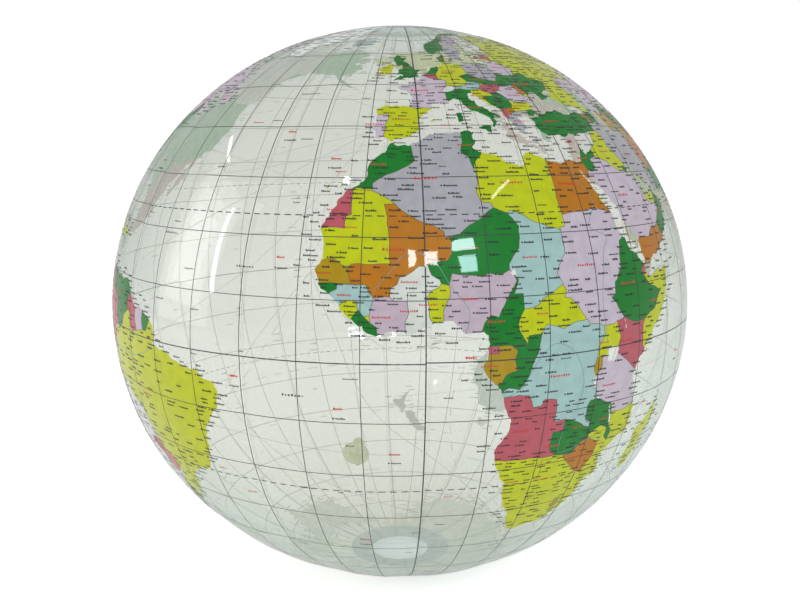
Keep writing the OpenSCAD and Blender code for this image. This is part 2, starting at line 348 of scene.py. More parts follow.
COASTS = {
    "africa": """-5.9 35.8, -5.3 35.9, -4.3 35.2, -3 35.4, -2.2 35.1, -1.2 35.7, 0 35.9, 1.3 36.5,
        3 36.9, 5 36.8, 7.3 37.1, 9.7 37.3, 10.3 37.2, 11.1 36.9, 10.6 36.3, 10.6 35.6, 11.1 35.2,
        10.7 34.6, 10.1 34.1, 10.3 33.7, 11.1 33.2, 12.3 32.8, 13.2 32.9, 14.3 32.6, 15.3 32.3,
        15.6 31.6, 17 31, 18 30.8, 19 30.3, 20 30.9, 20.1 31.6, 19.9 32.3, 21 32.9, 22.5 32.9,
        23.2 32.4, 25 31.7, 27 31.2, 29 30.9, 30.3 31.4, 31.2 31.6, 32.3 31.2, 32.5 30, 32.7 29.4,
        33.5 28, 34 27, 35 25.3, 35.6 23.9, 36.7 22.2, 37.2 21, 37.3 19.5, 38 18.3, 38.9 17.3, 39.3 16,
        39.8 15.1, 41.2 14.6, 42.3 13.2, 43.1 12.5, 43.3 11.6, 42.7 11.4, 44 10.5, 46 10.7, 48 11.2,
        50 11.5, 51.2 11.9, 51.1 10.4, 50.6 9, 49.8 7.8, 48.6 5.3, 47.5 4, 46 2.5, 44 1, 42.6 -0.3,
        41.5 -1.9, 40.2 -2.8, 39.5 -4.3, 38.9 -5.6, 39.5 -7, 39.6 -8.8, 40.5 -10.5, 40.7 -12.5,
        40.7 -15, 39.5 -16.6, 37 -17.8, 35 -19.6, 34.8 -20.8, 35.5 -22.2, 35.4 -23.9, 33 -25.2,
        32.9 -26.3, 32.6 -27.5, 31.8 -29, 30.3 -31.2, 28 -32.9, 25.8 -33.9, 24.8 -34.1, 22.5 -34,
        20 -34.8, 18.5 -34.2, 18 -32.7, 17.3 -30.3, 16.4 -28.6, 15.2 -27, 14.8 -25, 14.4 -22.8,
        13.4 -20.8, 12 -18, 11.8 -16.2, 12.5 -13.8, 13.6 -12, 13.8 -10.6, 13.1 -8.8, 12.3 -6.1,
        11.8 -4.7, 10.5 -3.4, 9.4 -2.2, 8.8 -0.8, 9.5 0.2, 9.6 1.2, 9.8 2.6, 9.6 3.9, 8.9 4.5, 7.5 4.4,
        6 4.3, 5.2 5.4, 4.2 6.3, 2.7 6.3, 1.2 6, 0 5.6, -2 4.8, -4 5.2, -5.8 5, -7.5 4.4, -9 4.9,
        -10.8 6.4, -12 7.3, -13.2 8.5, -13.3 9.3, -14.6 10.6, -15.5 11.4, -16.7 12.4, -16.8 13.4,
        -17.4 14.7, -16.5 15.8, -16.2 17.5, -16.2 19, -16.8 20.8, -17 21.3, -16.3 22.8, -15.2 24.5,
        -14.5 26.1, -13.1 27.7, -11.5 28.3, -10.1 29.4, -9.7 30.5, -9.8 31.5, -8.5 33.2, -6.8 34.1""",
    "eurasia": """32.5 30, 32.3 31.2, 33.5 31.1, 34.3 31.3, 34.9 32.5, 35.6 34, 35.9 35.5, 36.2 36.6,
        35.5 36.6, 34.6 36.8, 33.7 36.2, 32.5 36.1, 31 36.7, 30.5 36.4, 29.1 36.3, 28.2 36.8, 27.3 37.1,
        26.4 38.4, 26.8 39.3, 26.2 40, 27.5 40.4, 29 40.5, 29.1 41, 28 41, 26.9 40.5, 26 40.6, 25 40.9,
        24 40.8, 23.8 40, 23 40.4, 22.7 40, 23.3 39.2, 24 38.2, 24 37.7, 23 37.4, 23 36.5, 22.4 36.6,
        21.7 36.9, 21.3 37.7, 21.2 38.4, 20.8 38.9, 20 39.7, 19.4 40.5, 19.5 41.7, 18.5 42.4, 17 43,
        15.9 43.7, 15 44.5, 14.4 45.2, 13.6 45, 13.7 45.7, 12.4 45.4, 12.4 44.3, 13.6 43.6, 14.2 42.5,
        15.9 41.9, 16.9 41.1, 18.5 40.1, 17.9 40.3, 17 40.5, 16.6 39.8, 17.1 39, 16.1 37.9, 15.7 38.2,
        16.1 39, 15.6 40.1, 14.3 40.8, 12.6 41.5, 11.2 42.4, 10.5 43, 10.1 44, 8.9 44.4, 7.5 43.8,
        6 43.1, 4.8 43.4, 3.1 43.2, 3.1 42.2, 0.9 41, -0.3 39.5, 0.1 38.7, -0.7 37.7, -2 36.8,
        -4.4 36.7, -5.6 36, -6.4 36.8, -7.4 37.2, -8.9 37, -8.8 38.4, -9.5 38.8, -8.8 40.2, -8.8 41.8,
        -9.2 43.1, -8 43.7, -5.8 43.6, -3.8 43.5, -1.8 43.4, -1.2 44.7, -1.2 46, -2.2 47.2, -4.3 47.9,
        -4.7 48.4, -3 48.8, -1.6 48.7, -1.9 49.7, -1.1 49.4, 0.2 49.6, 1.6 50.2, 1.7 50.9, 3.4 51.4,
        4.2 52.1, 4.9 53.1, 7 53.5, 8.5 53.8, 8.7 54.5, 8.2 55.6, 8.1 56.8, 9.6 57.3, 10.6 57.7,
        10.4 56.4, 9.8 55.3, 10.1 54.5, 11.2 54, 13.4 54.5, 14.3 53.9, 16.5 54.5, 18.7 54.7, 19.8 54.5,
        21 55.2, 21.1 56.8, 22.6 57.7, 24.2 57.1, 23.6 58.6, 24.5 59.4, 28 59.6, 30 59.9, 28.5 60.5,
        25.5 60.2, 23 59.9, 21.4 60.8, 21.4 62.5, 23.5 63.9, 25.4 65, 24.2 65.8, 22.2 65.6, 21 64.4,
        18.5 62.9, 17.3 61.5, 17.4 60.6, 18.9 59.9, 17 58.7, 16.6 57.5, 15.9 56.1, 14.3 55.5, 12.9 55.5,
        12.5 56.3, 11.4 58.2, 10.6 59.5, 9.5 58.9, 7.1 58, 5.6 58.8, 5 60.6, 5.2 62, 7.5 63.4,
        10.2 64.3, 12.3 65.8, 14 67.3, 16.4 68.6, 19 69.7, 21.5 70.2, 25.5 71.1, 29 70.8, 31 70.3,
        30 69.7, 33 69.4, 37 68.7, 40.8 67.6, 41 66.6, 38.5 66.1, 34.5 66.6, 32.5 67, 34.8 64.5,
        37.5 63.9, 37.2 65.1, 39.8 64.6, 40.5 65.6, 42.5 66.5, 44.2 66, 43.9 67.5, 43.3 68.6, 46 68.2,
        46.2 66.9, 48.2 67.6, 53.5 68.7, 54.5 68.3, 59 68.8, 61 69.5, 64 69, 67 68.8, 69 68.6, 67 70,
        67 71.5, 69.5 72.8, 72.8 72.7, 72.3 71.2, 72 69.5, 73.5 68, 74.5 68.5, 73.6 70, 74.5 72.5,
        77 72.4, 80.5 72.8, 81 73.5, 87 74.5, 92 75.8, 100 76.4, 104 77.7, 108 76.7, 113 75.8, 110 74,
        106.5 73.2, 113.5 73.5, 118.5 73, 123.5 73.2, 127 73.3, 129 71.8, 131.5 71, 139 72.3,
        140.5 72.7, 149 72, 152.5 70.9, 159.5 70.7, 161 69.5, 170 69.9, 170.5 69, 176 69.8, 180 69,
        184.5 67.5, 190 66.1, 187 64.5, 181.5 65.6, 180 65, 177.5 64.7, 179.3 62.9, 177 62.5, 170.5 60,
        167 60.3, 163.5 59.8, 163 58, 162 56.2, 160 53.2, 156.8 51, 155.8 53.5, 155.7 57, 161.9 60.3,
        163.7 61.7, 160.2 61.8, 156 61.5, 154.5 59.6, 148.5 59.3, 142.5 59.2, 136.8 54.7, 141 53,
        140.5 50.5, 140.2 48, 138 46.2, 135.5 44.2, 133 42.8, 130.8 42.3, 129.7 41.2, 127.5 39.7,
        129.3 37, 129.3 35.4, 126.5 34.5, 126.5 36.8, 125 37.8, 125.2 39.4, 124.2 39.9, 121.4 38.8,
        122 40.5, 119.5 39.8, 117.8 39, 119 37.4, 122.5 37.2, 120.4 36, 119.3 35, 120.9 32.8,
        121.8 31.7, 120.8 30.4, 122 29.5, 121.4 28.2, 119.7 26, 117.8 24.2, 115 22.7, 113.5 22.2,
        110.6 21.3, 110 20.3, 109.7 21.5, 108.2 21.6, 106.7 20.5, 105.8 18.9, 107.6 16.6, 109 14.5,
        109.3 12.5, 108 10.8, 106.7 10.1, 105 8.7, 104.9 10.2, 103.5 10.7, 102.3 12.3, 101 12.8,
        100.9 13.4, 100 13.3, 99.6 11.5, 99.3 10, 100.2 8.6, 101.5 7, 103 5.8, 103.5 3.9, 104.2 1.4,
        103.5 1.3, 101.3 2.9, 100.4 5, 100.2 6.5, 98.6 8, 98.6 10.5, 98.7 12.5, 97.7 16, 96.8 17.2,
        95.3 15.8, 94.3 16.1, 94.5 18.7, 93.5 20, 92 21.5, 91.5 22.6, 90.3 21.9, 89 21.7, 87 21.3,
        86.5 20.2, 84.5 18.8, 82.3 16.6, 80.3 15.7, 80.2 13.4, 79.9 11.7, 79.8 10.3, 79 9.2, 77.6 8.1,
        76.5 9.5, 75 12.3, 73.8 15.5, 72.9 18.5, 72.7 21, 72.2 21.3, 70.5 20.8, 69 22.3, 70.3 22.9,
        68.5 23.3, 66.7 25, 62 25.1, 57.5 25.6, 56.8 27, 54 26.6, 51.5 27.8, 50.5 29.8, 49.5 30.2,
        48 30, 48.2 29, 48.8 27.8, 50.1 26.6, 50.8 25.5, 51.3 26.1, 51.5 24.8, 54 24.1, 56.2 25.7,
        56.4 26.3, 56.5 24.7, 58.7 23.6, 59.8 22.4, 58 20.4, 57.7 19, 55.3 17.3, 52.2 15.7, 49 14.3,
        45 12.8, 43.5 12.7, 43 14.5, 42.7 16.5, 41 18.8, 39.2 21, 38.5 23.5, 37 25.2, 35.5 27.6,
        34.8 28.2, 35 29.5, 34.3 28, 33.5 28.4, 32.7 29.7""",
    "north_america": """-168 65.6, -164.5 66.4, -162 66.1, -163.5 67.5, -166.3 68.4, -163 69.8,
        -156.6 71.3, -152 70.8, -146 70.1, -141 69.6, -136.5 69, -134 69.6, -128.5 70.4, -125 69.6,
        -121 69.7, -115.5 69, -114 68.2, -108.5 68, -106 68.8, -101 67.8, -97.5 68.2, -95.5 69.5,
        -96 71.2, -94.5 72, -92 71, -92 69.6, -90 68.8, -88 67.6, -86 67.7, -85.5 69.6, -82 69.6,
        -81.4 68, -83.5 66.5, -86 66.4, -87.5 64.5, -91 63.7, -94.3 61, -94.7 58.8, -92.5 57,
        -88.5 56.6, -85 55.3, -82.3 55, -82.2 52.9, -80.5 51.5, -79 51.4, -79 53.8, -79.6 54.8,
        -76.6 56.8, -78.4 58.9, -77.5 60.8, -78 62.4, -73.8 62.4, -70 61, -69.5 58.9, -67.5 58.3,
        -65.5 59.4, -64.5 60.3, -62.3 58, -61.5 56, -58.5 54.5, -56 52.5, -57 51.4, -60 50.3,
        -66.5 50.1, -69.5 48.3, -66.5 49.2, -64.3 48.7, -65.2 47.6, -64.3 46, -61.5 45.6, -60.5 46.8,
        -60 46, -63.5 44.5, -65.8 43.5, -66 44.8, -67.5 44.7, -70 43.8, -70.8 42.6, -70 41.7, -72 41.2,
        -74 40.6, -74.9 39, -75.5 38, -76 37, -75.6 35.3, -77.8 34, -79.5 33, -81.2 31.8, -81.3 29.8,
        -80.1 26.8, -80.4 25.2, -81.7 25.9, -82.8 27.8, -82.8 29, -84 30.1, -85.3 29.7, -88 30.3,
        -89.5 30.2, -89.2 29.1, -91.5 29.4, -94 29.7, -96.5 28.5, -97.4 27, -97.2 25.5, -97.8 22.3,
        -96.2 19.3, -94.5 18.1, -91.5 18.5, -90.4 20.8, -87 21.5, -87.5 19.5, -88.2 17.7, -88.6 15.8,
        -86 15.9, -83.2 15, -83.5 13, -83.7 11, -82.2 9.1, -80 9.2, -78 9.4, -77 8.4, -77.9 7.3,
        -78.5 8.4, -79.6 8.9, -80.4 7.5, -82.9 8.2, -83.7 8.6, -85.8 10, -87.6 12.9, -91 13.9, -93.9 16,
        -96.5 15.7, -99.7 16.8, -102 18, -105.5 20, -105.3 21.5, -106.4 23.2, -108.2 25.2, -109.3 26.7,
        -111 28, -112.8 30.1, -113.1 31.2, -114.8 31.7, -114.7 30.4, -113.2 28.8, -111.8 26.9,
        -110.7 24.8, -109.5 23.1, -110.2 23.1, -112.2 25.5, -114.3 27.2, -115.1 27.8, -114.1 28.5,
        -115.8 30.2, -117.1 32.5, -118.4 34, -120.6 34.6, -122.4 37.2, -124 40, -124.2 43, -124 46.3,
        -124.7 48.4, -122.5 47.5, -123 49, -125.5 50.2, -128 52, -130.2 54.7, -133.5 57.5, -136.5 58.3,
        -139.5 59.6, -144 60, -148 60, -152 59.2, -151.5 61, -154 59.3, -158.5 56.1, -162 55,
        -164.5 54.7, -161.5 56, -158.5 57.8, -157.3 58.9, -162 58.7, -162 60, -166 61.7, -164.8 63,
        -161 63.7, -161.3 64.6, -166.4 64.6""",
    "south_america": """-77 8.4, -76.8 8, -75.5 10.6, -74.2 11.2, -72 12.1, -71.4 11, -70.2 11.6,
        -68.3 10.8, -66 10.5, -64.5 10.1, -62 10.7, -60.8 9.3, -59.8 8.2, -58.4 6.9, -57.2 6, -54 5.9,
        -52.3 4.8, -51 4, -50 1.8, -50.6 0, -48.5 -0.7, -47 -0.7, -44.5 -2, -43.3 -2.4, -41.5 -2.9,
        -39.5 -3.1, -37.5 -4.7, -35.5 -5.1, -34.8 -7, -35.2 -9, -36.5 -10.6, -37.5 -12, -38.6 -13.2,
        -39 -15, -39.2 -17.5, -39.8 -19.5, -41 -22, -42 -23, -44.5 -23.1, -46.5 -24.1, -48.6 -25.8,
        -48.6 -28, -50 -29.6, -52.2 -32, -53.6 -33.9, -55.5 -34.9, -58.3 -34, -57.2 -35.8, -57 -36.7,
        -58 -38.2, -62 -39, -62.3 -40.8, -65 -41, -63.8 -42.5, -65.3 -44.5, -67.5 -46, -65.8 -47.8,
        -68.9 -50.3, -68.4 -52.3, -71 -53.8, -73.5 -52.5, -75.3 -50, -74.5 -47.5, -74.3 -44, -72.8 -42,
        -73.7 -39.5, -73.3 -37, -71.6 -33, -71.5 -30, -70.5 -27, -70.4 -22, -70.3 -18.5, -72 -17.1,
        -75.5 -15.3, -76.3 -13.5, -77.5 -11.3, -79 -8, -81.2 -6, -81.3 -4.6, -80.2 -3.3, -81 -2.2,
        -80.2 0.8, -79 1.6, -77.4 3.9, -77.3 6.5, -77.9 7.3""",
    "australia": """113.7 -22.5, 114.2 -26.3, 113.4 -26, 115.1 -30, 115.8 -32.5, 115 -34.3, 118 -35.1,
        120 -33.9, 123.7 -33.9, 126 -32.3, 131 -31.5, 134.2 -32.8, 135.8 -34.8, 137.8 -32.7, 137 -35.2,
        138.3 -34.8, 139.7 -36.8, 141 -38.1, 143.6 -38.8, 146.3 -39, 149.9 -37.5, 150.8 -34.5,
        152.6 -32, 153.5 -28.5, 153.1 -25.5, 150.8 -23.5, 149 -20.8, 146.3 -18.9, 145.4 -15,
        143.7 -14.2, 142.5 -10.8, 141.6 -13, 141 -17.3, 139.5 -17.5, 136 -15.5, 136.8 -12.2, 133 -11.5,
        130.8 -12.4, 129.5 -14.9, 127 -14, 125 -15, 123.5 -17.3, 122.2 -18.2, 119 -20, 116.7 -20.6""",
    "antarctica": """-180 -78, -165 -78.3, -158 -77.2, -150 -77, -145 -75.5, -135 -74.5, -125 -73.8,
        -110 -74.5, -102 -73.5, -95 -73, -80 -73.5, -72 -73.5, -68 -70.5, -67.5 -68, -62 -65, -57 -63.3,
        -57.5 -64.5, -61 -67, -61.5 -70, -61 -73.5, -62 -76, -60 -77.5, -50 -78, -40 -78.2, -35 -78,
        -28 -76.3, -18 -73, -10 -71, 0 -70, 15 -69.8, 30 -69.5, 38 -69.6, 45 -67.8, 52 -66, 60 -67.2,
        70 -68.2, 75 -69.8, 80 -67.8, 90 -66.6, 100 -65.8, 110 -66.3, 120 -66.8, 130 -66.2, 140 -66.8,
        150 -68.5, 160 -70, 170 -71.8, 165 -75, 165 -77.8, 180 -78, 180 -85, -180 -85""",
    "greenland": """-73 78.2, -66 80.5, -60 82, -45 82.7, -32 83.6, -22 82.5, -13 81.6, -18 80,
        -19 77.5, -20 75.5, -22 73, -22.5 70.5, -27 68.5, -34 66.5, -40 65, -41.5 63, -43.5 60,
        -48.5 61, -52 64.5, -54 67.2, -51 69.8, -55 71.5, -58.5 75.3, -65 76.1, -70.5 76""",
    "iceland": """-24 65.5, -22.5 66.4, -21 65.4, -18 66.1, -15 66.2, -13.7 65, -15 64.3, -18.7 63.4,
        -22.7 63.9, -22 64.6""",
    "britain": """-5.7 50.1, -3.5 50.3, -1.5 50.7, 1.3 51, 0.7 51.5, 1.7 52.6, 0.3 53, -0.2 54,
        -1.6 55.6, -3 56, -1.9 57.5, -4 57.7, -3.1 58.6, -5 58.6, -6 57.3, -5.4 56, -4.9 54.8,
        -3.2 54.9, -3 53.5, -4.5 53.3, -4.2 52.5, -5.2 51.9, -3 51.4, -4.5 51""",
    "ireland": "-10 51.6, -6.4 52.2, -6.1 53.3, -5.6 54.6, -7.4 55.3, -8.5 54.4, -10 54.1, -9.2 53.1",
    "baffin": """-61.5 66.6, -67.5 69, -71 71, -77 72.7, -81 73.7, -89.5 73.6, -85.5 71.5, -84.8 70.1,
        -79 69.8, -73.3 68.2, -72.5 67.2, -74 65.4, -78 64.8, -72.5 63, -66.5 61.9, -68 63.6, -64.8 64.8""",
    "ellesmere": """-61 82.4, -70 83.1, -80 82.7, -91 81.5, -87 80, -86 79.3, -88 77.5, -89.5 76.4,
        -80 76.2, -77.8 77, -75.5 78.8, -68 80.6""",
    "victoria": """-117 73, -114 73, -105 73.5, -101.5 70.5, -106 69, -113.5 68.6, -116.5 69.9,
        -112 70.4, -118 71.5""",
    "banks": "-125 72, -123.5 74.2, -118 74.2, -116 73.2, -121 71.5, -123 71.1",
    "melville": "-117 75.2, -116 76.5, -106 76, -105.5 75, -112 74.5",
    "devon": "-96.5 76.7, -90 76.4, -81 76, -80 75, -83 74.6, -92 74.8",
    "somerset": "-95.5 74, -90.5 74, -92.5 72.3, -95.5 72",
    "southampton": "-87 64, -84.5 66, -81 64.5, -82 63.5",
    "newfoundland": "-59.3 47.7, -57.5 50.5, -55.5 51.5, -55.8 49.6, -53 48.5, -53.2 46.7, -55.8 46.9",
    "vancouver": "-123.5 48.4, -125.5 48.8, -128.3 50.7, -126.5 50.5, -124 49.1",
    "cuba": """-84.9 21.9, -82.5 23, -80 23, -77 21.6, -74.2 20.2, -77.5 19.9, -77.3 20.6, -78.5 21.5,
        -81.8 22.2""",
    "hispaniola": "-74.4 18.4, -73.3 19.9, -71.5 19.8, -69.8 19.3, -68.4 18.6, -71.2 17.8, -72.5 18.2",
    "jamaica": "-78.3 18.3, -77 18.4, -76.3 17.9, -77.5 17.8",
    "puerto_rico": "-67.2 18.4, -65.7 18.4, -65.9 18, -67.1 18",
    "hawaii": "-156 19, -155 19.5, -155.8 20.2",
    "fuego": "-68.5 -52.7, -65.2 -54.7, -68 -55.5, -72 -54.5, -70 -53.2",
    "falkland": "-61 -51.7, -58 -51.5, -59 -52.3",
    "madagascar": """49.3 -12, 50.4 -15.6, 49.6 -17, 48.6 -20.5, 47.2 -24.8, 45.2 -25.5, 43.7 -23.5,
        44.3 -20, 44.3 -16.6, 46.5 -15.6, 47.9 -13.6""",
    "tasmania": "144.7 -40.8, 148.2 -40.9, 148 -42.8, 146.5 -43.6, 145.3 -42.6",
    "new_guinea": """131 -0.8, 134 -0.9, 134.5 -2.9, 137.8 -1.5, 141 -2.6, 144.5 -3.8, 147 -6, 148 -8,
        150.8 -10.4, 147.2 -9.5, 144 -7.7, 142.5 -9.3, 138.5 -8.3, 138 -5.5, 133 -4, 132.5 -2.8,
        134 -2.3""",
    "new_britain": "148.5 -5.8, 151.5 -4.2, 152.2 -4.5, 150.5 -6.3",
    "solomon": "155 -5.8, 160.5 -8.4, 162 -10.5, 159 -8.8",
    "caledonia": "164 -20.2, 167 -22.3, 165.5 -21.8",
    "fiji": "177.5 -18, 178.5 -17.7, 178.2 -18.3",
    "nz_north": "172.8 -34.5, 175 -36.5, 178.4 -37.7, 177 -39.5, 175.3 -41.6, 173.9 -39.4, 174.8 -38",
    "nz_south": "172.7 -40.6, 174.2 -41.5, 172.8 -43.7, 170.6 -45.9, 168.5 -46.6, 166.5 -46, 170 -43",
    "borneo": """109 1.5, 111.4 2.6, 113.5 3.5, 116.7 7, 119.2 5.2, 117.7 3.6, 118 1.5, 117.4 0.5,
        116.3 -2, 114.5 -4, 111.7 -3.3, 110 -1.8, 109.2 0.2""",
    "sumatra": """95.4 5.6, 97.5 5.2, 100.4 2.5, 103.5 0, 104.3 -2, 106 -3.3, 105.8 -5.8, 104.3 -5.7,
        101.5 -3, 98.7 1.7""",
    "java": "105.3 -6.7, 108.5 -6.7, 110.8 -6.4, 112.8 -7.2, 114.5 -8.6, 110 -8.1, 106.5 -7.4",
    "sulawesi": """119.8 0.3, 121 1.2, 125.1 1.5, 123.8 0.4, 120.8 0.5, 121.5 -0.9, 123.4 -0.8,
        121.8 -1.8, 122.8 -4.2, 121.5 -4.5, 120.9 -2.8, 120.4 -5.5, 119.5 -5.3, 119.3 -3""",
    "flores": "116.8 -8.6, 119 -8.4, 122.9 -8.2, 120 -8.9",
    "timor": "123.6 -10.3, 125 -8.9, 127.2 -8.4, 125 -9.8",
    "halmahera": "127.6 1.5, 128.2 1.2, 128 -0.8",
    "seram": "128 -3.2, 130.8 -3.3, 129.5 -3.6",
    "luzon": "120.6 18.5, 122.2 18.4, 121.6 16, 124 13, 121 13.7, 120.1 15",
    "mindanao": "122 7, 123.5 8.7, 125.6 9.6, 126.5 7.5, 125.5 5.8, 124 6.8",
    "visayas": "122 11.8, 125.2 12.2, 125 10.2, 122.6 10",
    "palawan": "117.2 8.4, 119.5 11.3, 118.6 9.5",
    "taiwan": "120.1 23, 121.5 25.2, 121.2 23, 120.8 22",
    "hainan": "108.7 19.3, 110.5 20.1, 110.9 19.3, 109.5 18.3",
    "honshu": """130.9 34, 133 35.5, 136 35.8, 137 37.2, 138.5 37.3, 139.8 39, 140.3 41.2, 141.5 41.3,
        142 39.5, 141 38.2, 140.8 35.8, 138.8 34.8, 136.8 34.5, 135.8 33.5, 135 34.5, 132.5 34.2""",
    "kyushu": "129.9 33, 131 33.8, 131.9 33, 131.3 31.4, 130.3 31.3",
    "shikoku": "132.2 33.5, 134.6 34.2, 134.2 33.3, 132.8 32.8",
    "hokkaido": "140 41.6, 141.8 45.4, 143.2 44.2, 145.4 43.3, 143.2 42, 141 42.5",
    "sakhalin": "142 46, 142.2 50, 142.5 54.2, 143.5 52, 143 49.2, 143.5 46.5",
    "sri_lanka": "79.8 8, 80.2 9.7, 81.3 8.6, 81.8 7, 80.6 5.9, 79.9 6.8",
    "novaya": "51.5 71.5, 55.5 75, 68 76.9, 61 75.3, 57 73, 57 70.7, 53 70.9",
    "svalbard": "11 79.4, 18 79.4, 27 79.4, 20 78, 17 76.6, 14 77.7",
    "severnaya": "95 79.2, 99 79.4, 105 78.8, 99 78",
    "sibir": "137.5 75.5, 143 76, 150.5 75, 143 73.3, 139.5 74.8",
    "wrangel": "178.8 70.9, 182 71.5, 181.5 70.9",
    "sicily": "12.5 37.9, 15.5 38.2, 15.1 36.8",
    "sardinia": "8.3 40.9, 9.6 41, 9.5 39.2, 8.5 39",
    "corsica": "8.6 42.5, 9.4 43, 9.3 41.5",
    "crete": "23.6 35.5, 26.2 35.3, 24.7 34.9",
    "cyprus": "32.4 35.1, 34.5 35.7, 33.5 34.7",
    "mallorca": "2.4 39.6, 3.3 39.9, 3 39.3",
    "zealand": "11 55.7, 12.5 56, 12.2 55",
    "gotland": "18.2 57.3, 19.2 57.9, 18.5 57",
    "tenerife": "-16.9 28.3, -16.2 28.5, -16.6 28",
    "fuerteventura": "-14.5 28.1, -13.9 28.8, -14.2 28.2",
    "socotra": "53.4 12.5, 54.4 12.6, 53.8 12.3",
    "bioko": "8.5 3.3, 8.9 3.7, 8.9 3.3",
}

LAKES = {
    "black_sea": """28 42.1, 28.7 43.8, 29.8 45.2, 31 46.5, 33 46, 33.6 44.5, 35.5 45, 36.6 45.3,
        35.2 46.3, 38 47.1, 39.2 47, 38 46, 37 45, 39 44, 41.3 42.6, 41.5 41.5, 39.5 41, 36.5 41.3,
        35 42, 32.5 41.8, 31 41.1, 29.2 41.3""",
    "caspian": """47.7 45.5, 49 46.5, 51.5 47, 53 46.7, 51.3 44.6, 51 44.2, 52.7 42.5, 52.6 41.5,
        53.8 39, 53.9 37, 51.5 36.7, 49.2 37.6, 49 39, 49.5 40.3, 48.5 41.9, 47.5 43""",
    "aral": "58.5 45.5, 60.5 46.5, 61.5 45.5, 60 43.9, 58.5 43.9",
    "baikal": "104 51.6, 106 52.9, 109.5 55.5, 109 53.8, 107 52.2",
    "ladoga": "31 60.2, 31 61.4, 32.9 60.9, 32.5 60.1",
    "onega": "35 61.2, 34.7 62.3, 36.2 61.5",
    "balkhash": "74 46, 76 46.8, 79 46.6, 76 45.8",
    "victoria_lake": "31.8 -1, 32.3 0.2, 34 0.2, 34.5 -0.6, 33.5 -2.4, 32 -2.3",
    "tanganyika": "29.2 -3.6, 29.8 -6, 31 -8.6, 30.4 -8.2, 29.3 -6",
    "malawi_lake": "34 -9.7, 34.6 -12, 34.9 -14, 34.3 -12.3",
    "chad_lake": "13.6 13.3, 14.4 13.8, 14.6 13, 14 12.8",
    "turkana": "36 4.6, 36.4 3, 36.1 2.6",
    "superior": "-92 46.8, -89 48.8, -86.5 48.7, -84.7 46.6, -87 46.6, -89 46.9",
    "michigan": "-88 42.2, -87.9 44.3, -86.5 45.8, -85.3 45.6, -86.5 43.9, -86.9 41.8",
    "huron": "-84 46, -81.2 45.5, -80.2 44.6, -81.7 43.4, -82.6 43.2, -83.5 44.2",
    "erie": "-83 41.6, -79 42.8, -80 42.1, -82.5 41.5",
    "ontario": "-79.6 43.3, -76.5 44.1, -76.3 43.5, -78.7 43.3",
    "great_bear": "-124 66, -121 67, -118 66.5, -121 65",
    "great_slave": "-116 61.2, -112 62.3, -109.5 62.8, -113 61",
    "winnipeg": "-98.5 52.8, -97 53.6, -96.5 51, -97.3 51",
}

